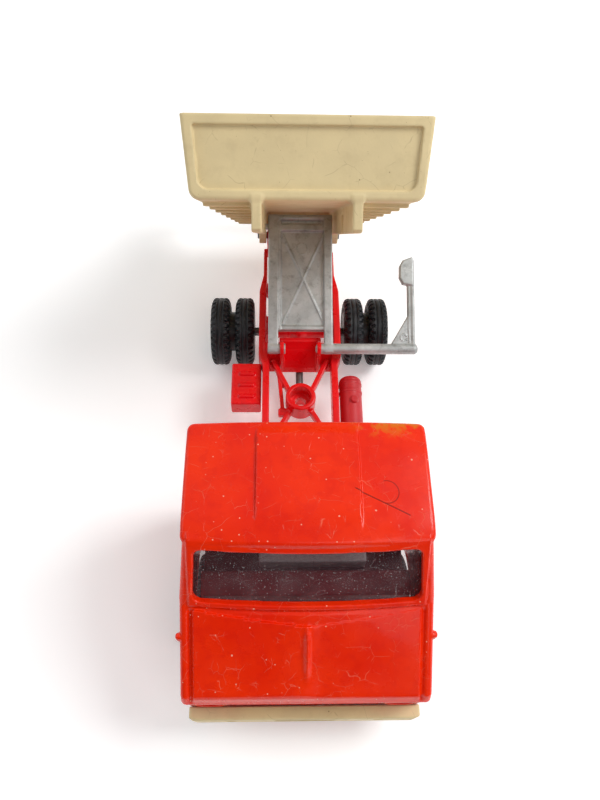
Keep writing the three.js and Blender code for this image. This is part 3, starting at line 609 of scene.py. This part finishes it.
def cab_body(p):
    """Everything under the roof panel, solid, down past the sill."""
    x, y, z = p
    side = [(CAB_REAR - 0.25, BELOW), (CAB_REAR - 0.25, ROOF_Z - 1.4), (SCREEN_TOP[0], ROOF_Z - 1.4)]
    side += [SCREEN_TOP, COWL, NOSE, (2.2, 26.6), (FACE_Y, 24.8), (FACE_Y, BELOW)]
    front = [(-25.1, BELOW), (25.1, BELOW), (CAB_HALF, 18.4), (CAB_HALF, COWL[1]), (24.3, ROOF_Z - 1.2)]
    front += [(-24.3, ROOF_Z - 1.2), (-CAB_HALF, COWL[1]), (-CAB_HALF, 18.4)]
    return meet(outline(bowed(x, y), z, side, 0.9), outline(x, z, front, 0.8), 1.1)


def bonnet_relief(p):
    """Centre crease, the side strips' grooves and the sloping edge of the raised bonnet panel."""
    x, y, z = p
    along = (bowed(x, y) - NOSE[0]) / (COWL[0] - NOSE[0])
    wide = np.abs(x)
    here = step(along, -0.05, 0.02) * (1 - step(along, 0.93, 0.98)) * step(z, 26.5, 27.5)
    inside = 1 - step(wide, 22.7, 23.1)
    crease = 0.9 * hump(x, 0, 0.6) * step(along, 0.08, 0.4) * (1 - step(along, 0.62, 0.88))
    groove = -0.55 * hump(wide, 23.45, 0.4)
    inboard = 1 - wide / PANEL_HALF
    edge = 0.95 - 0.14 * inboard
    share = 1 - 0.75 * step(x, -1, 3)
    panel = (0.6 * share * (1 - step(along, edge - 0.015, edge + 0.015)) + 0.3 * inboard) * inside
    return here * (crease * inside + groove + panel)


def screen_relief(p):
    """The raised surround of the windscreen."""
    x, y, z = p
    up, out = on_screen(x, y, z)
    close = 1 - step(np.abs(out), 1.5, 2.5)
    return 0.4 * step(up, -0.45, 0.05) * (1 - step(np.abs(x), 23.5, 23.9)) * close


def cab_field(p):
    x, y, z = p
    wide = np.abs(x)
    mirror = (wide, y, z)
    body = cab_body(p)
    arch = np.hypot(y - FRONT_AXLE[1], z - FRONT_AXLE[2])
    flank = step(wide, 24.3, 24.8)
    lip = 0.4 * flank * (1 - step(arch, 12.4, 12.8))
    handle = 0.6 * flank * (1 - step(np.abs(y - 43.2), 1.4, 1.7)) * (1 - step(np.abs(z - 36.4), 0.35, 0.6))
    lamp_ring = 0.35 * hump(np.hypot(wide - LAMP[0], z - LAMP[1]), 3.2, 0.45) * (1 - step(y, 4, 5))
    whole = body - bonnet_relief(p) - screen_relief(p) - lip - handle - lamp_ring
    whole = merge(whole, roof_field(p), 0.25)
    mirror_stub = box(mirror, (CAB_HALF - 1, 26.5), (13.6, 15.1), (33.0, 35.6), r=0.6)
    whole = merge(whole, mirror_stub, 0.25)
    door = outline(y, z, [(27.2, 14.4), (47.2, 14.4), (47.2, 40), (27.2, 40)], 1.2)
    whole = carve(whole, np.maximum(np.abs(door) - 0.28, CAB_HALF - 0.4 - wide), 0.12)
    whole = carve(whole, body + CAB_WALL, 0.2)
    up, out = on_screen(x, y, z)
    opening = outline(x, up, [(-22.9, 1.0), (22.9, 1.0), (22.2, 12.9), (-22.2, 12.9)], 1.7)
    whole = carve(whole, np.maximum(opening, np.abs(out) - 3.2), 0.3)
    window = [(26.4, 41), (44.8, 41), (44.8, 48.2), (31.8, 48.2)]
    whole = carve(whole, prism(mirror, ACROSS, window, (20, 30), 1.2), 0.3)
    rear_window = [(-14, 41.2), (14, 41.2), (14, 47.6), (-14, 47.6)]
    whole = carve(whole, prism(p, ALONG, rear_window, (CAB_REAR - 4, CAB_REAR + 4), 1.2), 0.3)
    whole = carve(whole, box(p, (-15.5, 15.5), (0, 5.4), (17.4, 24.2)), 0.25)
    whole = carve(whole, rod(mirror, ALONG, LAMP, 2.7, (0, 6)), 0.2)
    whole = carve(whole, rod(mirror, ACROSS, FRONT_AXLE[1:], ARCH_RADIUS, (18, 30)), 0.3)
    whole = carve(whole, box(p, (-11, 11), (CAB_REAR - 4, CAB_REAR + 2), (BELOW, 18.6)), 0.3)
    ribs = 0.25 * hump((x + 50) % 5 - 2.5, 0, 0.5)
    ribs = ribs * (1 - step(np.abs(z - 30), 8.5, 9)) * (1 - step(wide, 18, 18.5))
    whole = whole - ribs * step(y, CAB_REAR - 0.9, CAB_REAR - 0.6)
    return meet(whole, SILL - z, 0.3)


def glazing_field(p):
    """One clear moulding behind all the windows, just inside the cab's walls."""
    skin = cab_body(p)
    shell = carve(skin + CAB_WALL + GLASS_GAP, skin + CAB_WALL + GLASS_BACK, 0.1)
    return meet(shell, GLASS_FOOT - p[2], 0.1)


def cabin_field(p):
    """Cabin floor, bench, engine cover and dashboard in one moulding."""
    whole = box(p, (-22.6, 22.6), (22, 51.4), (21.4, 22.6), r=0.3)
    seat = [(38, 22), (51.2, 22), (51.2, 37.6), (48.6, 37.6), (46.4, 27.4), (38, 28)]
    whole = merge(whole, prism(p, ACROSS, seat, (-20.5, 20.5), 0.5, 0.5), 0.4)
    whole = merge(whole, box(p, (-10, 13.2), (30, 47), (22, 33), r=0.5), 0.3)
    dash = [(22.6, 22), (27, 22), (28, 33), (27.6, 35), (25.6, 35), (22.6, 33.8)]
    return merge(whole, prism(p, ACROSS, dash, (-22, 22), 0.5, 0.4), 0.4)


# ---------------------------------------------------------------- tipping body, in its lowered place

TRAY_FRONT = HINGE[1] - 67.2
TRAY_REAR = HINGE[1] + 5.5
FLOOR_Z = HINGE[2] + 6.7
RIM_Z = HINGE[2] + 23.5
TRAY_WALL = 1.5
TRAY_HALF = 24.1
FLARE = 0.1
ABOVE_RIM = 6
SIDE_RIB_PITCH = 11.2
FLOOR_RIBS = 8
FLOOR_RIB_PITCH = 8.2
RUNNER_X = (9.4, 11.5)
GATE_PIVOT = (HINGE[1] + 6.55, RIM_Z - 1.1)


def tray_section(x, z):
    """The tray's cross-section: flared sides and round lower corners."""
    top = RIM_Z + ABOVE_RIM
    half = TRAY_HALF + FLARE * (top - FLOOR_Z)
    return outline(x, z, [(-TRAY_HALF, FLOOR_Z), (TRAY_HALF, FLOOR_Z), (half, top), (-half, top)], 2.3)


def tray_field(p):
    """Tray with side ribs, floor ribs and runners, rear web, gate ears and a recess in the front wall."""
    x, y, z = p
    mirror = (np.abs(x), y, z)
    section = tray_section(x, z)
    length = np.abs(y - (TRAY_FRONT + TRAY_REAR) / 2) - (TRAY_REAR - TRAY_FRONT) / 2
    whole = meet(meet(section, length, 0.8), z - RIM_Z, 0.3)
    half_pitch = SIDE_RIB_PITCH / 2
    beat = np.abs((y - TRAY_FRONT - 8 + half_pitch) % SIDE_RIB_PITCH - half_pitch) - 1.1
    side_rib = meet(section - 0.35, np.maximum(beat, np.abs(y - HINGE[1] + 30) - 32), 0.3)
    side_rib = meet(side_rib, np.maximum(FLOOR_Z + 4.4 - z, z - RIM_Z + 1.5), 0.3)
    whole = merge(whole, side_rib, 0.2)
    whole = carve(whole, np.maximum(section + TRAY_WALL, TRAY_FRONT + 2.2 - y), 0.35)
    for i in range(FLOOR_RIBS):
        start = TRAY_FRONT + 6 + FLOOR_RIB_PITCH * i
        end, drop = 22 - 4.5 * i / (FLOOR_RIBS - 1), 1.0 + 2.6 * i / (FLOOR_RIBS - 1)
        rib = box(mirror, (10.6, end), (start, start + 1.2), (FLOOR_Z - drop, FLOOR_Z + 0.3), r=0.35)
        whole = merge(whole, rib, 0.4)
    y0, z0 = HINGE[1], HINGE[2]
    runner = [(TRAY_FRONT, FLOOR_Z + 1), (TRAY_FRONT, z0 + 0.9), (TRAY_FRONT + 0.6, z0 + 0.35)]
    runner += [(y0 - 4.2, z0 + 0.35), (y0 - 2.1, z0 - 1.2), (y0 - 0.9, z0 - 2.3), (y0 + 0.9, z0 - 2.3)]
    runner += [(y0 + 2.1, z0 - 1.2), (y0 + 2.3, z0 + 1.2), (y0 + 4.4, FLOOR_Z + 1)]
    whole = merge(whole, prism(mirror, ACROSS, runner, RUNNER_X, 0.0, 0.25), 0.8)
    web = box(p, (-9.8, 9.8), (y0 + 1.6, y0 + 2.8), (z0 + 3.1, FLOOR_Z + 0.3), r=0.3)
    whole = merge(whole, web, 0.4)
    ear = [(TRAY_REAR + 2, RIM_Z - 3.7), (TRAY_REAR + 3, RIM_Z - 1.3), (TRAY_REAR + 2, RIM_Z + 0.4)]
    ear += [(TRAY_REAR - 4, RIM_Z), (TRAY_REAR - 4, RIM_Z - 3.7)]
    whole = merge(whole, prism(mirror, ACROSS, ear, (24.3, 25.75), 0.4, 0.25), 0.3)
    foot, top = FLOOR_Z + 2.1, RIM_Z + ABOVE_RIM
    panel = outline(x, z, [(-22.2, foot), (22.2, foot), (24, top), (-24, top)], 2.2)
    recess = meet(meet(panel, z - RIM_Z + 2.1, 0.5), y - TRAY_FRONT - 0.9, 0.2)
    whole = carve(whole, recess, 0.25)
    whole = carve(whole, rod(p, ACROSS, HINGE[1:], 1.06, (-13, 13), r=0), 0.1)
    shaft_slot = box(p, (8.4, 12.5), (PIVOT[1] - 2.2, PIVOT[1] + 2.2), (z0 - 1, z0 + 4.9))
    whole = carve(whole, shaft_slot, 0.25)
    return carve(whole, rod(p, ACROSS, GATE_PIVOT, 0.97, (-30, 30), r=0), 0.1)


def gate_field(p):
    """Tailgate, hanging plumb from its pivots, with upright ribs on its outer side."""
    x, y, z = p[0], p[1], p[2] - GATE[2] + RIM_Z - 1.1  # set as if the tray were level
    panel = meet(tray_section(x, z) + 1.9, np.maximum(z - RIM_Z + 0.5, FLOOR_Z + 2.1 - z), 0.3)
    whole = meet(panel, np.abs(y - GATE[1]) - 0.75, 0.25)
    beat = np.abs((x + 50) % 10 - 5) - 0.6
    upright = np.maximum(beat, np.abs(z - (FLOOR_Z + RIM_Z) / 2) - 6.2)
    ribs = meet(upright, np.abs(y - GATE[1] - 0.6) - 0.6, 0.2)
    whole = merge(whole, np.maximum(ribs, np.abs(x) - 16), 0.2)
    return merge(whole, rod((x, y, z), ACROSS, (GATE[1], RIM_Z - 1.1), 0.9, (-24.7, 24.7)), 0.25)


# ---------------------------------------------------------------- lift frame and hand lever, turned flat

LIFT_TIP = 36.0


def lift_field(p):
    """Two bars joined by a thin ribbed panel, with the pivot shaft and the lever that ends in a pad."""
    x, y, z = p[0], p[1] - PIVOT[1], p[2] - PIVOT[2]
    q = (x, y, z)
    tip = LIFT_TIP
    parts = [
        box(q, (-8.6, -5.9), (-1.2, tip + 0.6), (-1.1, 1.1), r=0.3),
        box(q, (-6.3, -5.2), (4.9, tip), (-1.1, 0.8), r=0.25),
        box(q, (6.3, 8.6), (-1.2, tip + 0.6), (-1.1, 1.1), r=0.3),
        box(q, (-5.6, 7.0), (4.9, tip - 0.4), (-1.1, 0.0), r=0.2),
        box(q, (-5.6, 7.0), (tip - 3.8, tip - 1.9), (-1.1, 0.8), r=0.35),
        box(q, (-5.6, 7.0), (4.9, 6.1), (-1.1, 0.7), r=0.3),
        rod(q, ACROSS, (tip, 0), 0.9, (-8.6, 8.6)),
        box(q, (-10.0, -7.6), (tip - 3.2, tip - 1.8), (-0.8, 0.6), r=0.3),
        rod(q, ACROSS, (0, 0), 1.4, (-8.6, -4)),
        rod(q, ACROSS, (0, 0), 1.4, (4, 31.3), r=1.1),
        box(q, (28.75, 30.5), (0, 24.4), (-0.8, 0.7), r=0.35),
        box(q, (29.8, 30.6), (0, 24.6), (-1.2, 0.8), r=0.3),
    ]
    whole = merge_all(parts, 0.35)
    pad = [(30.5, 17), (30.5, 24.6), (30.2, 25.2), (27.6, 24.2)]
    pad += [(26.7, 22.6), (26.6, 19.4), (27.5, 17.6), (28.9, 17.4)]
    whole = merge(whole, prism(q, UP, pad, (-0.8, 1.1), 0.3, 0.45), 0.3)
    gusset = [(24.2, 0), (29.4, 0), (28.9, 9.2), (24.4, 1.6)]
    whole = merge(whole, prism(q, UP, gusset, (-0.6, 0.6), 0.2, 0.25), 0.3)
    for start, end in (((-4.9, 6.6), (6.4, tip - 4.4)), ((6.4, 6.6), (-4.9, tip - 4.4))):
        whole = merge(whole, stay(q, start, end, 0.5, (-0.3, 0.25)), 0.25)
    ejector = np.abs(np.hypot(x - 0.4, y - 27.4) - 1.5) - 0.12
    whole = merge(whole, np.maximum(ejector, np.abs(z) - 0.07), 0.1)
    small = np.abs(np.hypot(x - 27.6, y - 3.0) - 0.9) - 0.12
    return merge(whole, np.maximum(small, np.abs(z - 0.6) - 0.12), 0.1)


# ---------------------------------------------------------------- chassis and its fittings

RAIL_Z = (12.6, 18.0)
RING_Y = 77.3
BORE_GAP = 0.07
AXLE_BORE = 1.2 + BORE_GAP
PIVOT_BORE = 1.4 + BORE_GAP
PIN_BORE = 1.05
CHASSIS_END = HINGE[1] + 4.2


def rail_plan(u, v):
    """One rail in plan: straight at the front, set out beside the lift frame, drawn in at the rear."""
    y0, y1 = PIVOT[1], HINGE[1]
    outer = [(10.1, 9), (10.1, y0 - 3), (11.2, y0 + 0.5)]
    outer += [(11.2, y0 + 21.5), (10.1, y0 + 27), (10.1, y1 - 2.8)]
    inner = [(9.1, y1 - 2.8), (9.1, CHASSIS_END), (6.6, CHASSIS_END), (6.6, y1 - 3.4), (9.1, y1 - 3.7)]
    inner += [(9.1, y0 + 26.5), (9.3, y0 + 21.5), (9.3, y0 + 3), (8.3, y0 - 1.5), (8.3, 9)]
    return outline(u, v, outer + inner)


def chassis_field(p):
    """Rails, cross members, boss, crossed stays, axle feet, pivot member and the lugs for both pins."""
    x, y, z = p
    mirror = (np.abs(x), y, z)
    deep = np.abs(z - sum(RAIL_Z) / 2) - (RAIL_Z[1] - RAIL_Z[0]) / 2
    rails = meet(rail_plan(mirror[0], y), deep, 0.3)
    y0, z0 = PIVOT[1], PIVOT[2]
    parts = [
        box(p, (-9, 9), (9, 12.6), (12.6, 15.4)),
        box(p, (-9, 9), (38, 45.6), (12.6, 15.6)),
        box(p, (-9, 9), (61, 64.4), (12.6, 16.4)),
        box(p, (-9.2, 9.2), (113.5, 116.6), (11.4, 14.6)),
        box(p, (-9, 9), (HINGE[1] + 2.4, CHASSIS_END), (12.6, 17.2)),
        rod(p, ACROSS, REAR_AXLE[1:], 1.8, (-9, 9)),
        ball(p, REAR_AXLE, (2.6, 2.6, 2.6)),
        rod(p, UP, (0, RING_Y), 3.95, (13.4, 19.4), r=0.5),
        box(p, (-1.7, 1.7), (RING_Y + 2.6, RING_Y + 4.2), (8.8, 14.4)),
        stay(mirror, (2.6, RING_Y + 2.4), (7.4, y0 - 0.4), 1.3, (14.4, 16.6)),
        stay(mirror, (2.6, RING_Y - 2.4), (9, 63.5), 1.3, (14.4, 16.6)),
        stay(p, (-5.7, RING_Y + 9.1), (-4.7, RING_Y - 2.6), 1.0, (14.4, 16.2)),
        box(p, (-5.9, -3.4), (RING_Y - 4, RING_Y - 2), (14.4, 16.2)),
    ]
    whole = merge(rails, merge_all(parts, 0.5), 0.6)
    for axle in (FRONT_AXLE[1], REAR_AXLE[1]):
        foot = [(axle - 1.4, 6.9), (axle + 1.4, 6.9), (axle + 3.1, 8.4)]
        foot += [(axle + 3.1, 13), (axle - 3.1, 13), (axle - 3.1, 8.4)]
        whole = merge(whole, prism(mirror, ACROSS, foot, (8.3, 10.1), 0.3, 0.25), 0.4)
    member = [(y0 - 1.8, 11.8), (y0 + 2.2, 11.8), (y0 + 4.2, 18)]
    member += [(y0 + 4.2, 20.5), (y0 + 3, 20.5), (y0 - 1.2, 13.5)]
    whole = merge(whole, prism(p, ACROSS, member, (-5.6, 5.6), 0.3, 0.3), 0.4)
    wide_member = [(y0 - 1.8, 11.8), (y0 + 2.2, 11.8), (y0 + 4.2, 18)]
    wide_member += [(y0 + 1.6, 18), (y0 - 1.2, 13.5)]
    whole = merge(whole, prism(p, ACROSS, wide_member, (-9.6, 9.6), 0.2, 0.2), 0.4)
    lug = [(y0 - 2, 12), (y0 + 2, 12), (y0 + 2, z0 + 0.6)]
    lug += [(y0 + 0.9, z0 + 1.95), (y0 - 0.9, z0 + 1.95), (y0 - 2, z0 + 0.6)]
    whole = merge(whole, prism(mirror, ACROSS, lug, (4.4, 5.5), 0.6, 0.25), 0.4)
    y1, z1 = HINGE[1], HINGE[2]
    hinge_lug = [(y1 - 2.3, 13), (y1 + 2.3, 13), (y1 + 2.3, z1 + 0.8)]
    hinge_lug += [(y1 + 1.1, z1 + 2.3), (y1 - 1.1, z1 + 2.3), (y1 - 2.3, z1 + 0.8)]
    whole = merge(whole, prism(mirror, ACROSS, hinge_lug, (6.6, 9.1), 0.6, 0.3), 0.4)
    whole = carve(whole, rod(p, UP, (0, RING_Y), 2.7, (15.9, 21), r=0), 0.25)
    whole = carve(whole, rod(p, UP, (0, RING_Y), 1.4, (10, 21), r=0), 0.15)
    bores = [(FRONT_AXLE, AXLE_BORE, 12), (REAR_AXLE, AXLE_BORE, 12)]
    bores += [(PIVOT, PIVOT_BORE, 7), (HINGE, PIN_BORE, 12)]
    for centre, radius, reach in bores:
        whole = carve(whole, rod(p, ACROSS, centre[1:], radius, (-reach, reach), r=0), 0.1)
    whole = carve(whole, rod(p, UP, (0, 41.8), 1.1, (10, 18), r=0), 0.15)
    return carve(whole, box(mirror, (9.1, 12), (y1 - 5.6, y1 - 2.4), (15.8, 19)), 0.2)


def battery_field(p):
    """A box with three ribs over its top."""
    low, high = node_box("battery_box")
    side, top = low[0] + 0.2, high[2] - 0.5
    shell = [(side, low[2]), (high[0], low[2]), (high[0], top), (side, top)]
    whole = prism(p, ALONG, shell, (low[1], high[1]), 0.5, 0.4)
    for i in range(3):
        start = low[1] + 1.7 + 3.4 * i
        rib = box(p, (low[0] + 2.2, high[0] - 1.6), (start, start + 1.1), (14, high[2]), r=0.45)
        whole = merge(whole, rib, 0.3)
    return whole


def tank_field(p):
    """A banded barrel with a domed rear end and a cap on top."""
    low, high = node_box("fuel_tank")
    centre = ((low[0] + high[0]) / 2, (low[2] + high[2] - 0.65) / 2)
    radius, dome_depth = 3.0, 1.35
    barrel = rod(p, ALONG, centre, radius, (low[1], high[1] - dome_depth), r=0.3)
    dome_centre = (centre[0], high[1] - dome_depth, centre[1])
    dome = ball(p, dome_centre, (radius - 0.05, dome_depth, radius - 0.05))
    whole = merge(barrel, dome, 0.2)
    for start in (low[1] + 1.0, high[1] - 5.4, high[1] - 2.9):
        whole = merge(whole, rod(p, ALONG, centre, radius + 0.15, (start, start + 0.8), r=0.12), 0.15)
    cap = rod(p, UP, (centre[0] + 0.7, RING_Y + 0.4), 1.0, (centre[1], high[2]), r=0.3)
    return merge(whole, cap, 0.25)


BUMPER_REACH = 0.3


def bumper_field(p):
    """A bar with round ends, a plate recess, grooves and two small round recesses."""
    low, high = node_box("front_bumper")
    x, y, z = p
    swept = 0.4 * step(np.abs(x), high[0] - 1.6, high[0])
    back = high[1] + BUMPER_REACH
    whole = box((x, y - swept, z), (low[0], high[0]), (low[1], back), (low[2], high[2]), r=0.45)
    whole = meet(whole, y - back, 0.2)
    plate_recess = box(p, (-6.5, 6.5), (-1, 0.5), (high[2] - 4.2, high[2] - 1.4), r=0.3)
    whole = carve(whole, plate_recess, 0.2)
    groove = np.maximum(np.abs(z - high[2] + 3.9) - 0.22, y - 0.25)
    whole = carve(whole, np.maximum(groove, 8 - np.abs(x)), 0.12)
    return carve(whole, rod((np.abs(x), y, z), ALONG, (16, high[2] - 2.4), 1.1, (-1, 0.5)), 0.15)


# ---------------------------------------------------------------- wheels

TREAD_BLOCKS = 32
TYRE_RADIUS = 9.55
TYRE_WIDTH = 5.2
HUB_RADIUS = 5.55
HUB_HOLES = 8
HOLE_RADIUS = 0.62
HOLE_RING = 3.3


def tyre_field(centre):
    """A tyre with staggered shoulder blocks, two grooves round the tread and a bead."""
    half, crown = TYRE_WIDTH / 2, TYRE_RADIUS
    profile = [(-half + 0.5, 5.9), (half - 0.5, 5.9), (half, crown - 1.5), (half - 0.5, crown - 0.35)]
    profile += [(half - 1.1, crown), (1.1 - half, crown), (0.5 - half, crown - 0.35), (-half, crown - 1.5)]

    def field(p):
        out = p[0] - centre[0]
        y, z = p[1] - centre[1], p[2] - centre[2]
        radius = np.hypot(y, z)
        turn = np.arctan2(z, y) * TREAD_BLOCKS + math.pi * (out > 0)
        notch = step(np.cos(turn), -0.1, 0.5) * step(radius, 8.1, 8.5) * step(np.abs(out), 1.1, 1.35)
        rings = 0.28 * hump(np.abs(out), 0.62, 0.16) * step(radius, 9.0, 9.2)
        bead = 0.2 * hump(radius, 7.0, 0.35) * step(np.abs(out), 1.2, 1.6)
        return outline(out, radius, profile, 0.3) + 0.55 * notch + rings - bead
    return field


def hub_field(centre, way, low, high):
    """A dished hub with a nave and a ring of holes. way is -1 or 1, the outer side."""
    def field(p):
        out = (p[0] - centre[0]) * way
        y, z = p[1] - centre[1], p[2] - centre[2]
        radius = np.hypot(y, z)
        whole = meet(radius - HUB_RADIUS, np.abs(out - (low + high) / 2) - (high - low) / 2, 0.4)
        whole = carve(whole, meet(radius - 4.5, high - 2.0 - out, 0.6), 0.3)
        turn = np.arctan2(z, y)
        sector = (turn * HUB_HOLES / (2 * math.pi)) % 1 - 0.5
        ring = np.hypot(sector * 2 * math.pi / HUB_HOLES * HOLE_RING, radius - HOLE_RING)
        whole = carve(whole, np.maximum(ring - HOLE_RADIUS, high - 3.2 - out), 0.15)
        whole = merge(whole, meet(radius - 1.9, np.abs(out - high + 1.6) - 1.4, 0.4), 0.4)
        whole = merge(whole, meet(radius - 0.95, np.abs(out - high + 1.2) - 1.1, 0.4), 0.2)
        return whole
    return field


# ---------------------------------------------------------------- the pieces

cast("cab_casting", "truck", ENAMEL, "cab_shell", cab_field,
     (-26.6, 0.8, SILL), (26.6, CAB_REAR, ROOF_Z + 0.6), 0.42, ["cab_shell"])
cast("clear_moulding", "truck", CLEAR, "window_glazing", glazing_field,
     (-23.9, 18, GLASS_FOOT), (23.9, CAB_REAR - 1.7, ROOF_Z - 2.9), 0.4, ["window_glazing"])
cast("cabin_interior", "truck", CABIN, "cabin_moulding", cabin_field,
     (-22.6, 22, 21.4), (22.6, 51.4, 37.6), 0.5, ["cabin_moulding"])
low, high = node_box("front_bumper")
cast("cream_bumper", "truck", CREAM, "front_bumper", bumper_field,
     low, high + np.array([0, BUMPER_REACH, 0]), 0.35, ["front_bumper"])
cast("red_chassis", "truck", RED, "chassis_frame", chassis_field,
     *node_box("chassis_frame"), 0.36, ["chassis_frame"])
cast("red_battery_box", "truck", RED, "flank_boxes", battery_field,
     *node_box("battery_box"), 0.3, ["battery_box"])
cast("red_fuel_tank", "truck", DULL_RED, "flank_boxes", tank_field,
     *node_box("fuel_tank"), 0.26, ["fuel_tank"])
cast("cream_tray", "tipper", CREAM, "tipper_body", tray_field,
     (-26.4, TRAY_FRONT, HINGE[2] - 2.4), (26.4, TRAY_REAR + 3.2, RIM_Z + 0.5), 0.46,
     ["tipper_body"], (HINGE, -TIP_ANGLE))
cast("cream_tailgate", "gate", CREAM, "tailgate", gate_field, *node_box("tailgate"), 0.36, ["tailgate"])
cast("zinc_lift_frame", "lift", ZINC, "lift_frame", lift_field,
     (-10, PIVOT[1] - 1.5, PIVOT[2] - 1.5), (31.3, PIVOT[1] + 37, PIVOT[2] + 1.5), 0.26,
     ["lift_frame"], (PIVOT, LIFT_ANGLE))


def fit_wheel(kind, hand, body, axle):
    """A tyre over its own CAD node."""
    node = f"{kind}_tyre_{hand}"
    low, high = node_box(node)
    centre = ((low[0] + high[0]) / 2, axle[1], axle[2])
    margin = np.array([0.3, 0.1, 0.0])
    cast(f"treaded_{node}", body, RUBBER, "tyres", tyre_field(centre),
         low - margin, high + margin, 0.3, [node])


def fit_hub(end, hand, body, axle):
    """A hub over its own CAD node, facing outwards."""
    node = f"{end}_hub_{hand}"
    low, high = node_box(node)
    way = 1 if hand == "left" else -1
    centre = ((low[0] + high[0]) / 2, axle[1], axle[2])
    half = (high[0] - low[0]) / 2
    cast(f"dished_{node}", body, TRIM_BLACK, "wheel_hubs", hub_field(centre, way, -half, half),
         low, high, 0.28, [node])


for hand in ("right", "left"):
    fit_wheel("front", hand, "front_wheels", FRONT_AXLE)
    fit_wheel("rear_outer", hand, "rear_wheels", REAR_AXLE)
    fit_wheel("rear_inner", hand, "rear_wheels", REAR_AXLE)
    fit_hub("front", hand, "front_wheels", FRONT_AXLE)
    fit_hub("rear", hand, "rear_wheels", REAR_AXLE)


EDGE_MM = 0.12


def keep_cad(node, look):
    """A CAD node that stays, with fine rounded edges and a detailed material."""
    piece = frame["nodes"][node]
    piece.data.materials.clear()
    piece.data.materials.append(look)
    weld = piece.modifiers.new("weld", "WELD")
    weld.merge_threshold = 0.01 * MM
    flat = piece.modifiers.new("flat", "DECIMATE")
    flat.decimate_type = "DISSOLVE"
    flat.angle_limit = math.radians(1.0)
    round_edge = piece.modifiers.new("round_edge", "BEVEL")
    round_edge.width = EDGE_MM * MM
    round_edge.segments = 2
    round_edge.limit_method = "ANGLE"
    round_edge.angle_limit = math.radians(35)
    round_edge.harden_normals = True
    piece.data.polygons.foreach_set("use_smooth", np.ones(len(piece.data.polygons), bool))


for node, look in {
    "radiator_grille": CREAM,
    "headlamp_right": SILVER,
    "headlamp_left": SILVER,
    "cab_screw": STEEL,
    "prop_shaft": SHAFT_GREY,
    "front_axle": STEEL,
    "rear_axle": STEEL,
    "tipping_pin": STEEL,
}.items():
    keep_cad(node, look)


# ---------------------------------------------------------------- stage, camera and light

FLOOR_HALF = 3.0
LENS = 33.08
CAMERA_AT = (-6.01, -12.07, 188.48)
CAMERA_ANGLES = (62.42, 3.75, 3.43)


def stage_floor():
    half = FLOOR_HALF
    mesh = bpy.data.meshes.new("floor")
    corners = [(-half, -half, 0), (half, -half, 0), (half, half, 0), (-half, half, 0)]
    mesh.from_pydata(corners, [], [(0, 1, 2, 3)])
    mesh.materials.append(pale_floor())
    floor = bpy.data.objects.new("floor", mesh)
    bpy.context.scene.collection.objects.link(floor)


def aim(elevation, yaw, roll):
    """Right, up and forward of a view that looks down by elevation, turned by yaw and rolled."""
    e, w, r = (math.radians(angle) for angle in (elevation, yaw, roll))
    forward = Vector((math.sin(w) * math.cos(e), math.cos(w) * math.cos(e), -math.sin(e)))
    right = Vector((math.cos(w), -math.sin(w), 0))
    up = right.cross(forward)
    return math.cos(r) * right + math.sin(r) * up, -math.sin(r) * right + math.cos(r) * up, forward


def add_camera():
    """The camera fitted to the photo, where and how the truck's millimetres put it."""
    lens = bpy.data.cameras.new("camera")
    lens.sensor_fit = "VERTICAL"
    lens.sensor_height = 36
    lens.lens = LENS
    lens.clip_start = 0.005
    camera = bpy.data.objects.new("camera", lens)
    bpy.context.scene.collection.objects.link(camera)
    right, up, forward = aim(*CAMERA_ANGLES)
    turn = np.array([right, up, -forward]).T
    matrix = camera.matrix_world.copy()
    for row in range(3):
        for column in range(3):
            matrix[row][column] = turn[row][column]
    matrix[0][3] = (CAMERA_AT[0] + CENTRE_X) * MM
    matrix[1][3] = (CAMERA_AT[1] + NOSE_Y0) * MM
    matrix[2][3] = CAMERA_AT[2] * MM
    camera.matrix_world = matrix
    bpy.context.scene.camera = camera


def add_light(name, place_m, target_m, size_m, watts):
    """A soft rectangular light that faces its target."""
    light = bpy.data.lights.new(name, "AREA")
    light.shape = "RECTANGLE"
    light.size, light.size_y = size_m
    light.energy = watts
    lamp = bpy.data.objects.new(name, light)
    bpy.context.scene.collection.objects.link(lamp)
    lamp.location = place_m
    toward = Vector(target_m) - Vector(place_m)
    lamp.rotation_euler = toward.to_track_quat("-Z", "Y").to_euler()


def add_world(front, rear):
    """Even soft light, a little weaker from the front than from the rear."""
    world = bpy.data.worlds.new("studio")
    world.use_nodes = True
    tree = world.node_tree
    toward = add(tree, "SeparateXYZ", Vector=add(tree, "TexCoord").outputs["Generated"]).outputs["Y"]
    tree.links.new(ramp(tree, toward, -0.7, 0.3, front, rear), tree.nodes["Background"].inputs["Strength"])
    tree.nodes["Background"].inputs["Color"].default_value = (1, 1, 1, 1)
    bpy.context.scene.world = world


stage_floor()
add_camera()
add_world(0.1, 0.56)
add_light("key", (0.5, 0.08, 0.66), (0, 0, 0.03), (0.35, 0.35), 4.0)
add_light("fill", (-0.6, 0.1, 0.55), (0, 0, 0.03), (0.5, 0.5), 1.0)
add_light("bonnet_card", (0.2, -0.4, 0.5), (0.01, -0.06, 0.03), (0.3, 0.45), 0.8)
bpy.context.scene.view_settings.view_transform = "Standard"
